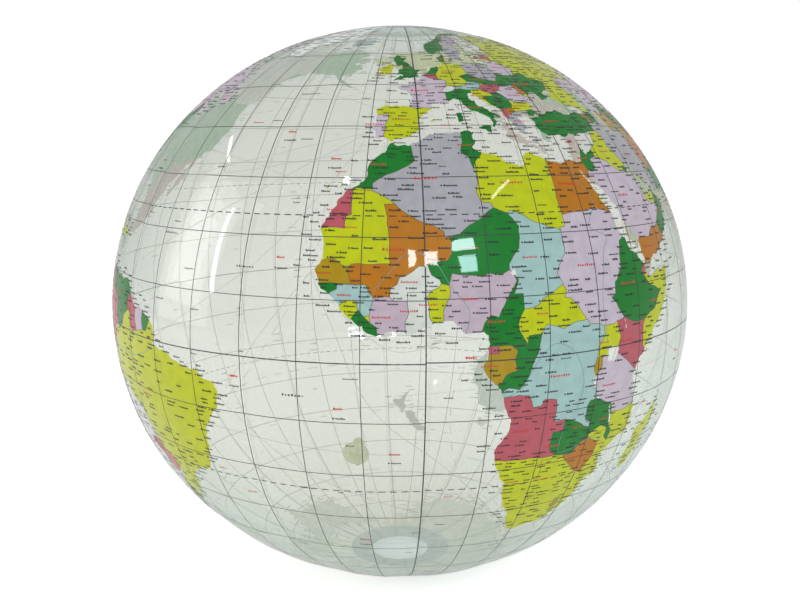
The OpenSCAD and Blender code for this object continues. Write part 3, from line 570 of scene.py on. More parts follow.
# Countries, painted in this order over the land. Only their inland borders count: they run
# loose over the sea. Land that no country covers keeps its continent's ink.
COUNTRIES = [
    ("morocco", "green", """-14 36.5, -2.2 36.5, -1.8 34.8, -1.2 32.3, -3.5 31, -4.9 30.4, -7.6 29.4,
        -8.7 28.7, -8.7 27.7, -13.5 27.7, -14 29"""),
    ("sahara", "rose", "-18 21.3, -13 21.3, -12.9 23.3, -12 23.5, -12 27.5, -13.5 28, -18 28"),
    ("mauritania", "yellow", """-18 16, -16.5 16, -14.5 16.6, -12.2 14.8, -11.5 15.6, -9.3 15.5,
        -5.5 15.5, -5.6 16.5, -6.6 25, -4.8 25, -8.7 27.4, -12 27.7, -12 23.5, -12.9 23.3, -13 21.3,
        -18 21.3"""),
    ("mali", "orange", """-6.6 25, -4.8 25, 1.2 21.1, 3.2 19.9, 3.3 19, 4.2 19.1, 4.2 16.5, 3.5 15.4,
        1.3 15.3, 0.2 15, -1 15, -2 14.2, -3.2 13.5, -4 13.4, -4.4 12.3, -5.4 11.7, -5.5 10.4,
        -6.2 10.5, -8 10.3, -8.6 11, -9.3 12.4, -11.5 12.4, -12.2 14.8, -11.5 15.6, -9.3 15.5,
        -5.5 15.5, -5.6 16.5"""),
    ("algeria", "grey", """-2.2 37, -1.8 34.8, -1.2 32.3, -3.5 31, -4.9 30.4, -7.6 29.4, -8.7 28.7,
        -8.7 27.3, -4.8 25, 1.2 21.1, 3.2 19.9, 3.3 19, 5.8 19.5, 7.5 20.8, 12 23.5, 11.6 24.3, 10 24.5,
        9.4 26.1, 9.9 27.8, 9.8 29.5, 9.5 30.2, 9.1 32.1, 7.6 33.2, 8.3 35, 8.3 36.5, 8.6 38"""),
    ("tunisia", "green", """8.6 38, 8.3 36.5, 8.3 35, 7.6 33.2, 9.1 32.1, 9.5 30.2, 10.2 31.5,
        11.5 32.6, 11.6 33.3, 12 38"""),
    ("libya", "yellow", """11.6 33.5, 11.5 32.6, 10.2 31.5, 9.5 30.2, 9.8 29.5, 9.9 27.8, 9.4 26.1,
        10 24.5, 11.6 24.3, 12 23.5, 14.2 22.6, 15 23, 24 19.5, 24 20, 25 20, 25 22, 25 31.6, 25 34,
        12 34"""),
    ("egypt", "orange", "25 34, 25 22, 37.5 22, 35 24, 34.9 29.5, 34.3 31.3, 34 34"),
    ("sudan", "lilac", """24 20, 25 20, 25 22, 37.5 22, 37.5 18.8, 38.6 18, 37 17, 36.4 15, 36.1 12.7,
        34.8 10.8, 34.2 10.5, 34 8.6, 33 8, 34 7.2, 35 5.5, 35.8 4.6, 34 4.2, 33.5 3.8, 31 3.7, 30 4.2,
        28 4.3, 27.3 5.1, 25.5 7.5, 24.2 8.7, 23 9, 23.5 10, 22.9 11, 22 12.7, 22.6 14, 24 15.7"""),
    ("chad", "teal", """14.2 22.6, 15 23, 24 19.5, 24 15.7, 22.6 14, 22 12.7, 22.9 11, 21 9.9, 19 9,
        18 8, 15.6 7.6, 15.5 10, 14 10, 14.9 12.1, 14.1 13, 13.5 13.7, 13.5 14.5, 15.5 16.9, 16 20.4"""),
    ("niger", "green", """3.3 19, 5.8 19.5, 7.5 20.8, 12 23.5, 14.2 22.6, 16 20.4, 15.5 16.9, 13.5 14.5,
        13.5 13.7, 12.3 13.1, 10 13.3, 9 12.8, 6.8 13.1, 4.1 13.5, 3.6 11.7, 2.4 12, 2.2 12.6, 1 13.3,
        0.4 14.9, 1.3 15.3, 3.5 15.4, 4.2 16.5, 4.2 19.1"""),
    ("nigeria", "pink", """3.6 11.7, 4.1 13.5, 6.8 13.1, 9 12.8, 10 13.3, 12.3 13.1, 13.5 13.7, 14.1 13,
        14.6 12, 13.2 10, 12.3 8.4, 11.3 6.6, 10 7, 9 5.8, 8.6 4.7, 8.5 3.5, 4 3.5, 2.7 6, 2.7 8,
        3.7 10, 3.8 10.8"""),
    ("benin", "yellow", """0.9 11, 2 11.4, 2.4 12, 3.6 11.7, 3.8 10.8, 3.7 10, 2.7 8, 2.7 6, 1.2 5.5,
        0.5 7, 0.5 8.5, 0.2 10"""),
    ("burkina", "cream", """-5.4 11.7, -5.5 10.4, -4.7 9.7, -2.8 9.7, -2.8 11, 0.9 11, 2 11.4, 2.4 12,
        2.2 12.6, 1 13.3, 0.4 14.9, -1 15, -2 14.2, -3.2 13.5, -4 13.4, -4.4 12.3"""),
    ("ivory", "pink", """-8.6 7.6, -8 10.3, -6.2 10.5, -5.5 10.4, -4.7 9.7, -2.8 9.7, -2.6 8, -3.2 6.5,
        -2.8 4, -7.5 3.5, -7.5 5.8, -8.5 6.5"""),
    ("ghana", "cream", """-2.8 4, -3.2 6.5, -2.6 8, -2.8 9.7, -2.8 11, 0.9 11, 0.2 10, 0.5 8.5, 0.5 7,
        1.2 5.5, 1 4"""),
    ("guinea", "teal", """-15.2 10.9, -13.7 11.7, -13.7 12.6, -11.3 12.4, -9.3 12.4, -8.6 11, -8 10.3,
        -8.6 7.6, -9.4 7.4, -10.3 8.5, -10.8 10, -12.5 9.9, -13.3 9, -14.5 9.5"""),
    ("bissau", "green", "-17.5 12.4, -15 12.7, -13.7 12.6, -13.7 11.7, -15.2 10.9, -17 10.5"),
    ("sierra", "yellow", "-13.3 9, -12.5 9.9, -10.8 10, -10.3 8.5, -11.5 6.9, -13.5 7"),
    ("liberia", "green", "-11.5 6.9, -10.3 8.5, -9.4 7.4, -8.5 6.5, -7.5 5.8, -7.5 3.5, -10 4"),
    ("senegal", "gold", """-18 16, -16.5 16, -14.5 16.6, -12.2 14.8, -11.5 12.4, -13.7 12.6, -15 12.7,
        -17.5 12.4, -18.5 14"""),
    ("cameroon", "green", """8.6 4.7, 9 5.8, 10 7, 11.3 6.6, 12.3 8.4, 13.2 10, 14.6 12, 14.1 13,
        14.9 12.1, 14 10, 15.5 10, 15.6 7.6, 14.5 5.5, 14.6 4.5, 16 2.2, 13.3 2.2, 11.3 2.2, 9 2.2,
        8.5 3.5"""),
    ("rio_muni", "rose", "9 2.2, 11.3 2.2, 11.3 1, 9 0.9"),
    ("gabon", "gold", """11.3 2.2, 13.3 2.2, 14.4 1.3, 13.9 0, 14.4 -1.8, 12.5 -2.4, 11.8 -3.6, 10.9 -4,
        7.5 -1, 9 0.9, 11.3 1"""),
    ("congo", "green", """13.3 2.2, 16 2.2, 16.2 3.5, 18.5 3.6, 18 1, 16.8 -1.5, 16 -3.5, 14.8 -4.9,
        13 -4.5, 12 -5, 10.9 -4.2, 11.8 -3.6, 12.5 -2.4, 14.4 -1.8, 13.9 0, 14.4 1.3"""),
    ("central", "yellow", """15.6 7.6, 18 8, 19 9, 21 9.9, 22.9 11, 23.5 10, 23 9, 24.2 8.7, 25.5 7.5,
        27.3 5.1, 25 5, 22.5 4.1, 19.5 5, 18.5 3.6, 16.2 3.5, 16 2.2, 14.6 4.5, 14.5 5.5"""),
    ("zaire", "teal", """18.5 3.6, 19.5 5, 22.5 4.1, 25 5, 27.3 5.1, 28 4.3, 30 4.2, 31 3.7, 31.2 2.2,
        29.9 0.5, 29.6 -1.4, 29 -2.8, 29.4 -5.9, 30.6 -8.3, 28.9 -8.5, 28.4 -9.5, 28.5 -11.8,
        29.8 -12.2, 29.8 -13.4, 28.5 -13, 27 -12, 25.3 -11.3, 24 -11, 22 -11.2, 21.8 -7.3, 19.5 -7,
        19 -8, 17.5 -8.1, 16.6 -6, 13 -5.9, 11.5 -6.1, 12 -5, 13 -4.5, 14.8 -4.9, 16 -3.5, 16.8 -1.5,
        18 1"""),
    ("angola", "rose", """11.5 -6.1, 13 -5.9, 16.6 -6, 17.5 -8.1, 19 -8, 19.5 -7, 21.8 -7.3, 22 -11.2,
        24 -11, 24 -13, 22 -13, 22 -16.3, 23.4 -17.6, 18.5 -17.4, 14 -17.4, 11 -17.2"""),
    ("zambia", "green", """22 -13, 24 -13, 24 -11, 25.3 -11.3, 27 -12, 28.5 -13, 29.8 -13.4, 29.8 -12.2,
        28.5 -11.8, 28.4 -9.5, 28.9 -8.5, 30.6 -8.3, 32.9 -9.4, 33.2 -11, 32.7 -13.6, 30.2 -15,
        30.4 -15.6, 28.9 -15.9, 27 -18, 25.2 -17.8, 23.4 -17.6, 22 -16.3"""),
    ("malawi", "green", """32.9 -9.4, 34 -9.5, 34.6 -11.5, 34.7 -14, 35.8 -15, 35.3 -17, 34.3 -16,
        34.5 -14.5, 32.7 -13.6, 33.2 -11"""),
    ("zimbabwe", "orange", """25.2 -17.8, 27 -18, 28.9 -15.9, 30.4 -15.6, 32.9 -16.7, 32.8 -19.8,
        32.4 -21.4, 31.3 -22.4, 29.4 -22.2, 27.7 -20.5, 26 -19"""),
    ("namibia", "yellow", """11 -17.2, 14 -17.4, 18.5 -17.4, 23.4 -17.6, 25.2 -17.8, 23.5 -18.2,
        21 -18.3, 21 -22, 20 -22, 20 -28.4, 16.5 -28.6, 13 -29"""),
    ("botswana", "yellow", """21 -18.3, 23.5 -18.2, 25.2 -17.8, 26 -19, 27.7 -20.5, 29.4 -22.2,
        27 -23.7, 25.5 -25.7, 23 -25.3, 20.7 -26.8, 20 -24.8, 20 -22, 21 -22"""),
    ("lesotho", "gold", "27 -29.6, 28.5 -28.6, 29.4 -29.4, 28 -30.6"),
    ("mozambique", "yellow", """42 -10.5, 40.5 -10.6, 38 -11.5, 34.6 -11.5, 34.7 -14, 35.8 -15,
        35.3 -17, 34.3 -16, 34.5 -14.5, 30.4 -15.6, 32.9 -16.7, 32.8 -19.8, 31.3 -22.4, 32 -24.5,
        32 -26.8, 34 -27"""),
    ("tanzania", "lilac", """30.8 -1.1, 34 -1, 37.7 -3.4, 39.3 -4.7, 41 -5, 41 -10.4, 40.5 -10.5,
        38 -11.5, 34.6 -11.5, 34 -9.5, 32.9 -9.4, 30.6 -8.3, 29.4 -5.9, 29.4 -4.5, 30.8 -3.3"""),
    ("rwanda", "gold", "29 -2.8, 29.6 -1.4, 30.8 -1.1, 30.8 -3.3, 29.4 -4.5"),
    ("uganda", "yellow", """29.6 -1.4, 29.9 0.5, 31.2 2.2, 31 3.7, 33.5 3.8, 34 4.2, 34.9 1.5, 34 -1,
        30.8 -1.1"""),
    ("kenya", "rose", """34 -1, 34.9 1.5, 34 4.2, 35.8 4.6, 36 4.5, 38 3.6, 39.5 3.4, 41.9 3.9, 41 2.8,
        41 -0.8, 42 -1.8, 40 -4.8, 39.3 -4.7, 37.7 -3.4"""),
    ("ethiopia", "green", """38.6 18, 37 17, 36.4 15, 36.1 12.7, 34.8 10.8, 34.2 10.5, 34 8.6, 33 8,
        34 7.2, 35 5.5, 35.8 4.6, 36 4.5, 38 3.6, 39.5 3.4, 41.9 3.9, 45 5, 48 8, 46.9 8, 44 9,
        42.6 10.6, 42 11, 41.8 11.5, 42.4 12.5, 43.2 12.7, 41 15.5, 39.5 17.5"""),
    ("djibouti", "rose", "41.8 11, 43.5 11, 43.3 12.7, 42.4 12.5"),
    ("somalia", "yellow", """42.6 10.6, 44 9, 46.9 8, 48 8, 45 5, 41.9 3.9, 41 2.8, 41 -0.8, 42 -1.8,
        46 0, 52.5 8, 53 13, 44 12"""),
    ("norway", "green", """4 57.5, 9 57.5, 11 58.9, 12 60.5, 12.5 61.5, 12 63.5, 14 64.5, 15.5 66.3,
        18 68.4, 20.3 69, 25 69, 28.5 70, 31 69.6, 31.5 72, 20 71.5, 4 63"""),
    ("sweden", "grey", """11 58.9, 12 60.5, 12.5 61.5, 12 63.5, 14 64.5, 15.5 66.3, 18 68.4, 20.3 69,
        23.7 67.5, 24 65.7, 22 63.5, 20 59.5, 18 55.5, 13 55, 12 56.5"""),
    ("finland", "cream", """20.3 69, 25 69, 28.5 70, 29 69, 28.5 68.2, 30 67.5, 29.5 66.8, 30 65,
        31.5 62.8, 28 60.5, 26 59.9, 20 59.8, 20.5 63, 24 65.7, 23.7 67.5"""),
    ("denmark", "green", "7.5 54.9, 10 54.8, 13 54.7, 12.9 56.2, 10.8 58.2, 8 57.5"),
    ("estonia", "grey", "23 57.9, 28 57.5, 28.2 59.8, 22.5 59.8"),
    ("latvia", "rose", "20.5 57.8, 27.5 55.8, 28 57.5, 25 58.1, 21 56.1"),
    ("lithuania", "cream", "20.5 56.4, 26.5 55.7, 25.7 54.2, 22.8 54.4, 20.5 55.2"),
    ("germany", "yellow", """5.9 53.8, 5.9 51, 6.2 49.5, 8.2 49, 7.6 47.6, 10.5 47.5, 13 47.6,
        13.8 48.8, 12.2 50.3, 15 51, 14.2 53.9, 14.3 54.8, 9.5 54.9, 7.5 55"""),
    ("netherlands", "green", "3 51.3, 5.9 51, 7 52.3, 7 54, 4.5 54"),
    ("belgium", "rose", "2 51.2, 3 51.3, 5.9 51, 6.2 49.5, 4.2 49.9"),
    ("france", "lilac", """-5.5 49.5, -2 50.3, 2 51.2, 4.2 49.9, 6.2 49.5, 8.2 49, 7.6 47.6, 6.1 46.3,
        7 45.9, 7 44.2, 7.6 43.4, 3 42.4, 0.7 42.8, -1.8 43.3, -2.2 44.5, -5.5 46"""),
    ("spain", "yellow", """-9.9 44.2, -1.8 44, -1.8 43.3, 0.7 42.8, 3.4 42.4, 3.5 41, 0.5 38, -2 36,
        -5.6 35.9, -7.4 36.8, -7.4 37.2, -7 38.2, -7 39.7, -6.3 41, -6.5 41.9, -8.2 41.9, -9.9 41.9"""),
    ("portugal", "lilac", """-9.9 41.9, -8.2 41.9, -6.5 41.9, -6.3 41, -7 39.7, -7 38.2, -7.4 37.2,
        -7.4 36.5, -10 36.5"""),
    ("italy", "green", """7 44.2, 7 45.9, 9 46.3, 11 46.9, 13.7 46.5, 13.7 45.6, 13 45, 14 43.8,
        19 40.5, 18.5 39.3, 16.5 37.4, 12 37.2, 11 41.5, 8.2 43.9, 7.6 43.5"""),
    ("switzerland", "cream", "6.1 46.3, 7.6 47.6, 9.6 47.5, 10.4 46.7, 9 46.3, 7 45.9"),
    ("austria", "teal", """9.6 47.5, 10.5 47.5, 13 47.6, 13.8 48.8, 17 48.6, 17 47.8, 16 46.8,
        13.7 46.5, 11 46.9, 10.4 46.7"""),
    ("czech", "green", "12.2 50.3, 15 51, 18.8 49.7, 22.5 49.1, 22.2 48.4, 18.8 48, 17 48.6, 13.8 48.8"),
    ("poland", "grey", """14.2 53.9, 15 51, 18.8 49.7, 22.5 49.1, 24 50.7, 23.6 52.5, 23.5 54,
        19.8 54.5, 18 55.5, 14.3 54.5"""),
    ("hungary", "rose", """16 46.8, 17 47.8, 18.8 48, 22.2 48.4, 22.8 47.8, 20.5 46.1, 18.5 45.8,
        16.5 46.4"""),
    ("croatia", "yellow", """13.7 46.5, 16 46.8, 16.5 46.4, 18.5 45.8, 19 45, 16 45, 17.5 43, 18.4 42.3,
        13.5 44.5, 13.5 45.5"""),
    ("bosnia", "green", "16 45, 19 45, 19.4 43.5, 18.4 42.5, 17.5 43"),
    ("serbia", "green", """19 45, 18.5 45.8, 20.5 46.1, 22.5 44.7, 23 43, 22.3 42.3, 21 42.2, 19.4 42,
        18.4 42.3, 19.4 43.5"""),
    ("albania", "rose", "19.3 42, 20.5 42, 21 40.8, 20 39.6, 19 40"),
    ("macedonia", "orange", "20.5 42, 22.3 42.3, 23 41.4, 21 40.8"),
    ("romania", "lilac", """20.5 46.1, 22.8 47.8, 24.8 47.8, 26.6 48.2, 28.2 45.5, 29.7 45.3, 29.8 44,
        28.6 43.7, 25 43.7, 22.7 44.2, 22.5 44.7"""),
    ("bulgaria", "yellow", """22.7 44.2, 25 43.7, 28.6 43.7, 28.5 42, 26.3 41.8, 23 41.4, 22.4 42.3,
        23 43"""),
    ("greece", "grey", """20 39.6, 21 40.8, 23 41.4, 26.3 41.7, 26.2 40.8, 26 39, 28 35.5, 24 34.5,
        20 36.5, 19.3 39.5"""),
    ("turkey", "green", """26.3 41.8, 28.2 42.1, 31 41.8, 36 42.5, 41.5 41.6, 43.5 41.1, 44.8 39.7,
        44.4 37.5, 42.3 37.2, 40 36.8, 38 36.8, 36.7 36.4, 36 35.9, 32 35.8, 28 35.9, 26 38, 26 40.2,
        26.2 40.8"""),
    ("syria", "cream", """35.6 36, 36.7 36.4, 38 36.8, 40 36.8, 42.3 37.2, 41 34.4, 38.8 33.4,
        36.5 32.4, 35.8 33.3, 35.8 34.6"""),
    ("jordan", "green", """34.2 31.3, 34.9 29.5, 36.1 29.2, 37.5 30, 37 31.5, 39 32, 38.8 33.4,
        36.5 32.4, 35.8 33.3, 35.8 34.6, 34.5 33"""),
    ("iraq", "yellow", """39 32, 38.8 33.4, 41 34.4, 42.3 37.2, 44.8 37.2, 46 35.7, 45.5 33.9, 47.7 31,
        48.5 30, 46.5 29.1, 44.7 29.2, 42 31.1"""),
    ("arabia", "lilac", """34.9 29.5, 36.1 29.2, 37.5 30, 37 31.5, 39 32, 42 31.1, 44.7 29.2, 46.5 29.1,
        47.5 29, 48.5 28.5, 50.2 26.7, 50.8 24.8, 52 23, 55.1 22.6, 55.6 22, 52 19, 48.2 18.2, 47 17,
        43.3 17.3, 42.7 16.4, 40 17, 36 25, 34.5 28"""),
    ("kuwait", "green", "46.5 29.1, 47.5 30, 48.8 29.8, 48.5 28.5"),
    ("yemen", "orange", """42.7 16.4, 43.3 17.3, 47 17, 48.2 18.2, 52 19, 53.1 16.7, 53 15, 45 12.4,
        42.8 12.5"""),
    ("oman", "green", """53.1 16.7, 52 19, 55.6 22, 55.1 22.6, 56 24.5, 57 26.5, 60.5 22.5, 58 18,
        55 16.5"""),
    ("emirates", "yellow", """50.8 24.8, 51.3 26.3, 52 25.5, 55 25.3, 56.3 26.5, 56 24.5, 55.1 22.6,
        52 23"""),
    ("iran", "grey", """44.8 39.7, 46.5 38.9, 48 39.5, 48.9 38.4, 50 37.4, 53.9 37.3, 57 38.2,
        61.2 36.6, 60.8 34, 60.9 31.5, 61.8 31, 61 29.5, 62.8 27.3, 61.6 25, 57 25, 55 26, 50 29,
        48.5 30, 47.7 31, 45.5 33.9, 46 35.7, 44.8 37.2, 44.4 37.5"""),
    ("georgia", "cream", "40 43.5, 43.5 42.8, 46 41.8, 46.5 41.2, 45 41.2, 43.5 41.1, 41.5 41.6"),
    ("armenia", "orange", "43.5 41.1, 45 41.2, 46.5 38.9, 44.8 39.7"),
    ("azerbaijan", "green", "45 41.2, 46.5 41.2, 48.5 41.8, 50.5 40.3, 49 38.4, 48 39.5, 46.5 38.9"),
    ("ukraine", "green", """22.2 48.4, 22.5 49.1, 24 50.7, 23.6 51.6, 30.6 51.4, 34 52.3, 35.5 50.4,
        40 49.5, 38.3 47.2, 36 46, 36.6 45, 33.5 44.2, 30 45.8, 30 46.4, 28 48.4, 26.6 48.2, 24.8 47.8,
        22.8 47.8"""),
    ("moldova", "orange", "26.6 48.2, 28 48.4, 30 46.4, 28.2 45.5"),
    ("belarus", "lilac", "23.6 51.6, 23.5 54, 26.5 55.6, 28.2 56.1, 30.8 54.8, 32.5 53.3, 30.6 51.4"),
    ("kazakhstan", "lilac", """46.5 48.5, 47 50, 51.5 51.5, 54.7 51, 61 50.8, 61.5 54, 69 55.3, 71 54.2,
        77 54.3, 80 50.8, 87.3 49.1, 83 47, 80.3 45, 80.2 42.2, 75 42.9, 70.5 42, 68 41, 66 42.5,
        58.5 45.5, 56 41.3, 52.5 42, 50 44.5, 49 46.2"""),
    ("uzbekistan", "green", """56 41.3, 58.5 45.5, 61.5 43.5, 66 42.5, 68 41, 71 41, 73 40.8, 70.5 40,
        68.3 38.5, 68 37, 66.5 37.4, 62 39.5, 60 42.2"""),
    ("turkmenistan", "gold", """52.5 42, 56 41.3, 60 42.2, 62 39.5, 66.5 37.4, 64.5 36.3, 61.2 35.3,
        61.2 36.6, 57 38.2, 53.9 37.3, 52.5 40"""),
    ("kirghiz", "rose", """68 37, 68.3 38.5, 70.5 40, 73 40.8, 71 41, 70.5 42, 75 42.9, 80.2 42.2,
        76.5 40.4, 73.8 39.5, 74.9 37.3, 71.5 36.7"""),
    ("afghanistan", "orange", """61.2 35.3, 64.5 36.3, 66.5 37.4, 71.5 36.7, 74.9 37.3, 71.2 36,
        69.5 33.5, 66.5 31, 66.3 29.8, 61 29.5, 61.8 31, 60.9 31.5, 60.8 34"""),
    ("pakistan", "green", """61 29.5, 66.3 29.8, 66.5 31, 69.5 33.5, 71.2 36, 74.9 37.3, 76.5 35.8,
        74 34, 75 32.5, 73 30, 70 28, 71 24.6, 68 23, 61.5 24.8, 62.8 27.3"""),
    ("india", "orange", """68 23, 71 24.6, 70 28, 73 30, 75 32.5, 74 34, 76.5 35.8, 79 33, 79 31,
        81.2 30.1, 80 28.9, 84 27.5, 88.1 26.5, 88 27.9, 92 26.9, 94 29, 97.3 28.2, 94 24, 93 22.5,
        92.3 21, 92.2 23.5, 92.4 25, 89.8 26, 88.1 24.5, 89 21, 83 15, 80.5 10, 77.5 7.5, 70 15, 67 22.5"""),
    ("bengal", "green", "88.1 24.5, 89.8 26, 92.4 25, 92.2 23.5, 92.4 20.8, 89 21"),
    ("nepal", "lilac", "81.2 30.1, 84 28.9, 88.1 27.9, 88.1 26.5, 84 27.5, 80 28.9"),
    ("china", "rose", """73.8 39.5, 76.5 40.4, 80.2 42.2, 80.3 45, 83 47, 87.3 49.1, 91 45.2, 96.4 42.7,
        105 41.6, 111.9 43.7, 116 46.3, 119.9 46.7, 116.7 49.8, 120 52.7, 125 53.2, 127.5 49.8,
        130.9 47.8, 134.7 48.3, 133.2 45, 131 43.5, 130.6 42.3, 128 42, 124.4 40, 122 38, 124 31,
        122 26, 118 21, 111 17.8, 108 21.5, 106 22.8, 102.2 22.5, 100 21.5, 99.3 23, 97.6 24.5,
        98.6 27.6, 97.3 28.2, 94 29, 92 27.8, 88.9 27.9, 84 28.9, 81.2 30.1, 79 31, 79 33, 76.5 35.8,
        74.9 37.3"""),
    ("mongolia", "green", """87.3 49.1, 92 50.8, 98 50.5, 98.9 52, 102.3 51.4, 107 49.8, 113.5 49.5,
        116.7 49.8, 119.9 46.7, 116 46.3, 111.9 43.7, 105 41.6, 96.4 42.7, 91 45.2"""),
    ("korea_north", "orange", "124.4 40, 128 42, 130.6 42.3, 128.4 38.5, 125 37.7"),
    ("korea_south", "green", "125 37.7, 128.4 38.5, 130 37, 129.5 34.8, 125.5 34"),
    ("japan", "rose", "129 31, 129 34, 136 38, 139 42, 141 46, 146 44, 142.5 35"),
    ("burma", "green", """92.3 21, 93 22.5, 94 24, 97.3 28.2, 98.6 27.6, 97.6 24.5, 99.3 23, 101.2 21.5,
        99 20, 97.5 18.5, 98.8 16.2, 99.2 12, 98.7 10, 97 12, 96 15, 93.5 15.5"""),
    ("thailand", "lilac", """97.5 18.5, 99 20, 100.2 20.2, 101 17.8, 104 18.2, 105.5 15.2, 105 14.3,
        102.5 13.6, 102.8 11.8, 100.5 12, 101.8 6, 100.2 6.6, 98 7.5, 98.7 10, 99.2 12, 98.8 16.2"""),
    ("laos", "orange", """100.2 20.2, 102.2 22.5, 104.5 20.4, 105 18.8, 107.5 16, 107.5 14.4,
        105.5 14.3, 105.5 15.2, 104 18.2, 101 17.8"""),
    ("cambodia", "green", """102.5 13.6, 105.5 14.3, 107.5 14.4, 107.5 12.3, 106 11, 104.5 10.4,
        103 10.6, 102.8 11.8"""),
    ("vietnam", "gold", """102.2 22.5, 106 22.8, 108 21.5, 107 19, 109.8 14, 109.5 11, 105 8.3,
        104.5 10.4, 106 11, 107.5 12.3, 107.5 16, 105 18.8, 104.5 20.4"""),
    ("malaya", "orange", "100.2 6.6, 101.8 6, 104 5, 104.5 1, 103 1, 100 4"),
    ("sarawak", "orange", """109 2, 109.6 0.9, 112 1.4, 114.5 1.5, 115.8 4.2, 117.6 4.2, 119.5 5.2,
        117 7.5, 110 3.4"""),
    ("papua", "green", "141 -2, 141 -10, 152 -12, 163 -11, 163 -4, 150 -3"),
    ("usa", "green", """-124.8 48.4, -123 49, -95.2 49, -89 48, -84.5 46.5, -82.5 45.3, -82.4 43,
        -79 42.8, -79 43.3, -76 44.2, -74.7 45, -71.5 45, -69 47.4, -67.8 47, -66.9 44.7, -68 42,
        -73 38, -78 31, -79.5 24.5, -83 24.5, -86 29, -91 28.5, -96.5 27, -97.2 25.8, -99 26.4,
        -101.4 29.8, -103.2 29, -106.5 31.8, -111 31.3, -114.8 32.5, -117.3 32.5, -121 33.5, -126 40"""),
    ("alaska", "green", """-141 70.5, -141 60.3, -137.5 59, -135 59.8, -130 55.9, -130.5 54.7,
        -134.5 54, -140 58, -152 56, -168 52, -170 63, -169 68, -158 72"""),
    ("hawaiian", "green", "-161 18, -154 18, -154 23, -161 23"),
    ("mexico", "rose", """-117.3 32.5, -114.8 32.5, -111 31.3, -106.5 31.8, -103.2 29, -101.4 29.8,
        -99 26.4, -97.2 25.8, -95 20, -86 22.5, -87 18.3, -89.2 17.8, -91 17.3, -90.5 16.1, -92.2 14.5,
        -95 14.5, -107 18, -110 22, -118 30"""),
    ("guatemala", "green", """-92.2 14.5, -90.5 16.1, -91 17.3, -89.2 17.8, -87.5 18, -88.3 15.8,
        -89.4 14.2, -90.2 13.2"""),
    ("honduras", "yellow", """-89.4 14.2, -88.3 15.8, -86 17, -82.8 15, -86.8 13.4, -87.7 12.7,
        -90.2 13.2"""),
    ("nicaragua", "orange", "-87.7 12.7, -86.8 13.4, -83 15, -83 10.8, -85.8 11"),
    ("costa", "lilac", "-85.8 11, -83 10.8, -82.5 9.5, -83 8, -86.5 9.5"),
    ("panama", "green", "-82.5 9.5, -77 9.8, -77.3 8.5, -77.8 7, -83 7, -83 8"),
    ("antilles", "yellow", "-86 24, -73 20.5, -66 19, -66 17, -78 17, -79 20, -86 21"),
    ("colombia", "rose", """-77.4 8.6, -76 9.5, -71.3 12.3, -72.5 10, -72 7.5, -67.5 6.2, -67.8 3,
        -67 1.2, -69.5 0.7, -70 -4.2, -73 -2.4, -75.3 0, -77.5 0.6, -79.5 1.5, -79 5, -77.9 7.3"""),
    ("venezuela", "green", """-71.3 12.3, -66 11.5, -61 11, -59.5 8.4, -60.7 7.5, -61.3 6, -60.7 5,
        -63 3.8, -64 2, -65.5 0.7, -67 1.2, -67.8 3, -67.5 6.2, -72 7.5, -72.5 10"""),
    ("guyana", "rose", """-59.5 8.4, -57 6.3, -57.3 4, -56.5 1.9, -58.8 1.3, -59.8 2.5, -60 4.5,
        -60.7 5, -61.3 6, -60.7 7.5"""),
    ("surinam", "lilac", "-57 6.3, -54 6.2, -54.4 4, -54 2.3, -56.5 1.9, -57.3 4"),
    ("cayenne", "green", "-54 6.2, -51.5 4.4, -52.8 2.3, -54 2.3, -54.4 4"),
    ("ecuador", "orange", """-80.5 1.5, -78.8 1.4, -77.5 0.6, -75.3 0, -78.5 -4.8, -80.3 -4.3, -82 -3,
        -82 0"""),
    ("peru", "lilac", """-75.3 0, -73 -2.4, -70 -4.2, -73.8 -7.3, -70.5 -9.5, -69.5 -11, -68.7 -12.5,
        -69 -16.3, -70.4 -18.3, -77 -16, -82.5 -5, -80.3 -4.3, -78.5 -4.8"""),
    ("bolivia", "cream", """-68.7 -12.5, -69.5 -11, -65.4 -9.8, -65.3 -11.8, -60.5 -13.7, -60 -16.2,
        -58.2 -17.3, -57.7 -18, -58.2 -20, -62.3 -20.5, -62.7 -22.2, -67.2 -22.8, -68.6 -20, -69 -16.3"""),
    ("paraguay", "rose", """-58.2 -20, -62.3 -20.5, -62.7 -22.2, -58 -25, -58.6 -27.2, -56 -27.3,
        -54.6 -25.6, -54.3 -24, -55.8 -22.3, -57.9 -22"""),
    ("chile", "green", """-70.4 -18.3, -69 -17.8, -68.6 -20, -67.2 -22.8, -68.4 -25, -70 -31, -70 -35,
        -71.2 -38.5, -71.8 -44, -72.3 -48.5, -73.3 -50.5, -72 -52, -68.4 -52.3, -68.5 -56, -76 -54,
        -76.5 -45, -72.5 -30, -71 -19"""),
    ("argentina", "cream", """-67.2 -22.8, -62.7 -22.2, -58 -25, -58.6 -27.2, -56 -27.3, -54.6 -25.6,
        -53.7 -27, -57.6 -30.2, -58.3 -34, -56 -36, -57 -40, -63 -44, -64 -49, -67 -52.5, -68.4 -52.3,
        -72 -52, -73.3 -50.5, -72.3 -48.5, -71.8 -44, -71.2 -38.5, -70 -35, -70 -31, -68.4 -25"""),
    ("uruguay", "green", "-57.6 -30.2, -53.5 -33, -53.3 -34.2, -55 -35.3, -58.5 -34"),
]

# Lands by their ink. A land that is not named here is printed in the default ink.
LANDS_IN_INK = {
    "yellow": """africa eurasia south_america ireland madagascar novaya severnaya sibir wrangel sakhalin
        luzon mindanao visayas palawan mallorca tenerife fuerteventura""",
    "teal": "australia iceland",
    "pale": "antarctica greenland",
    "green": "britain svalbard hispaniola caledonia fiji sardinia sicily zealand",
    "grey": "crete nz_north nz_south gotland",
    "orange": "new_guinea socotra",
    "rose": "taiwan cyprus bioko",
    "gold": "borneo sumatra java sulawesi",
    "cream": "fuego",
}
DEFAULT_LAND_INK = "lilac"

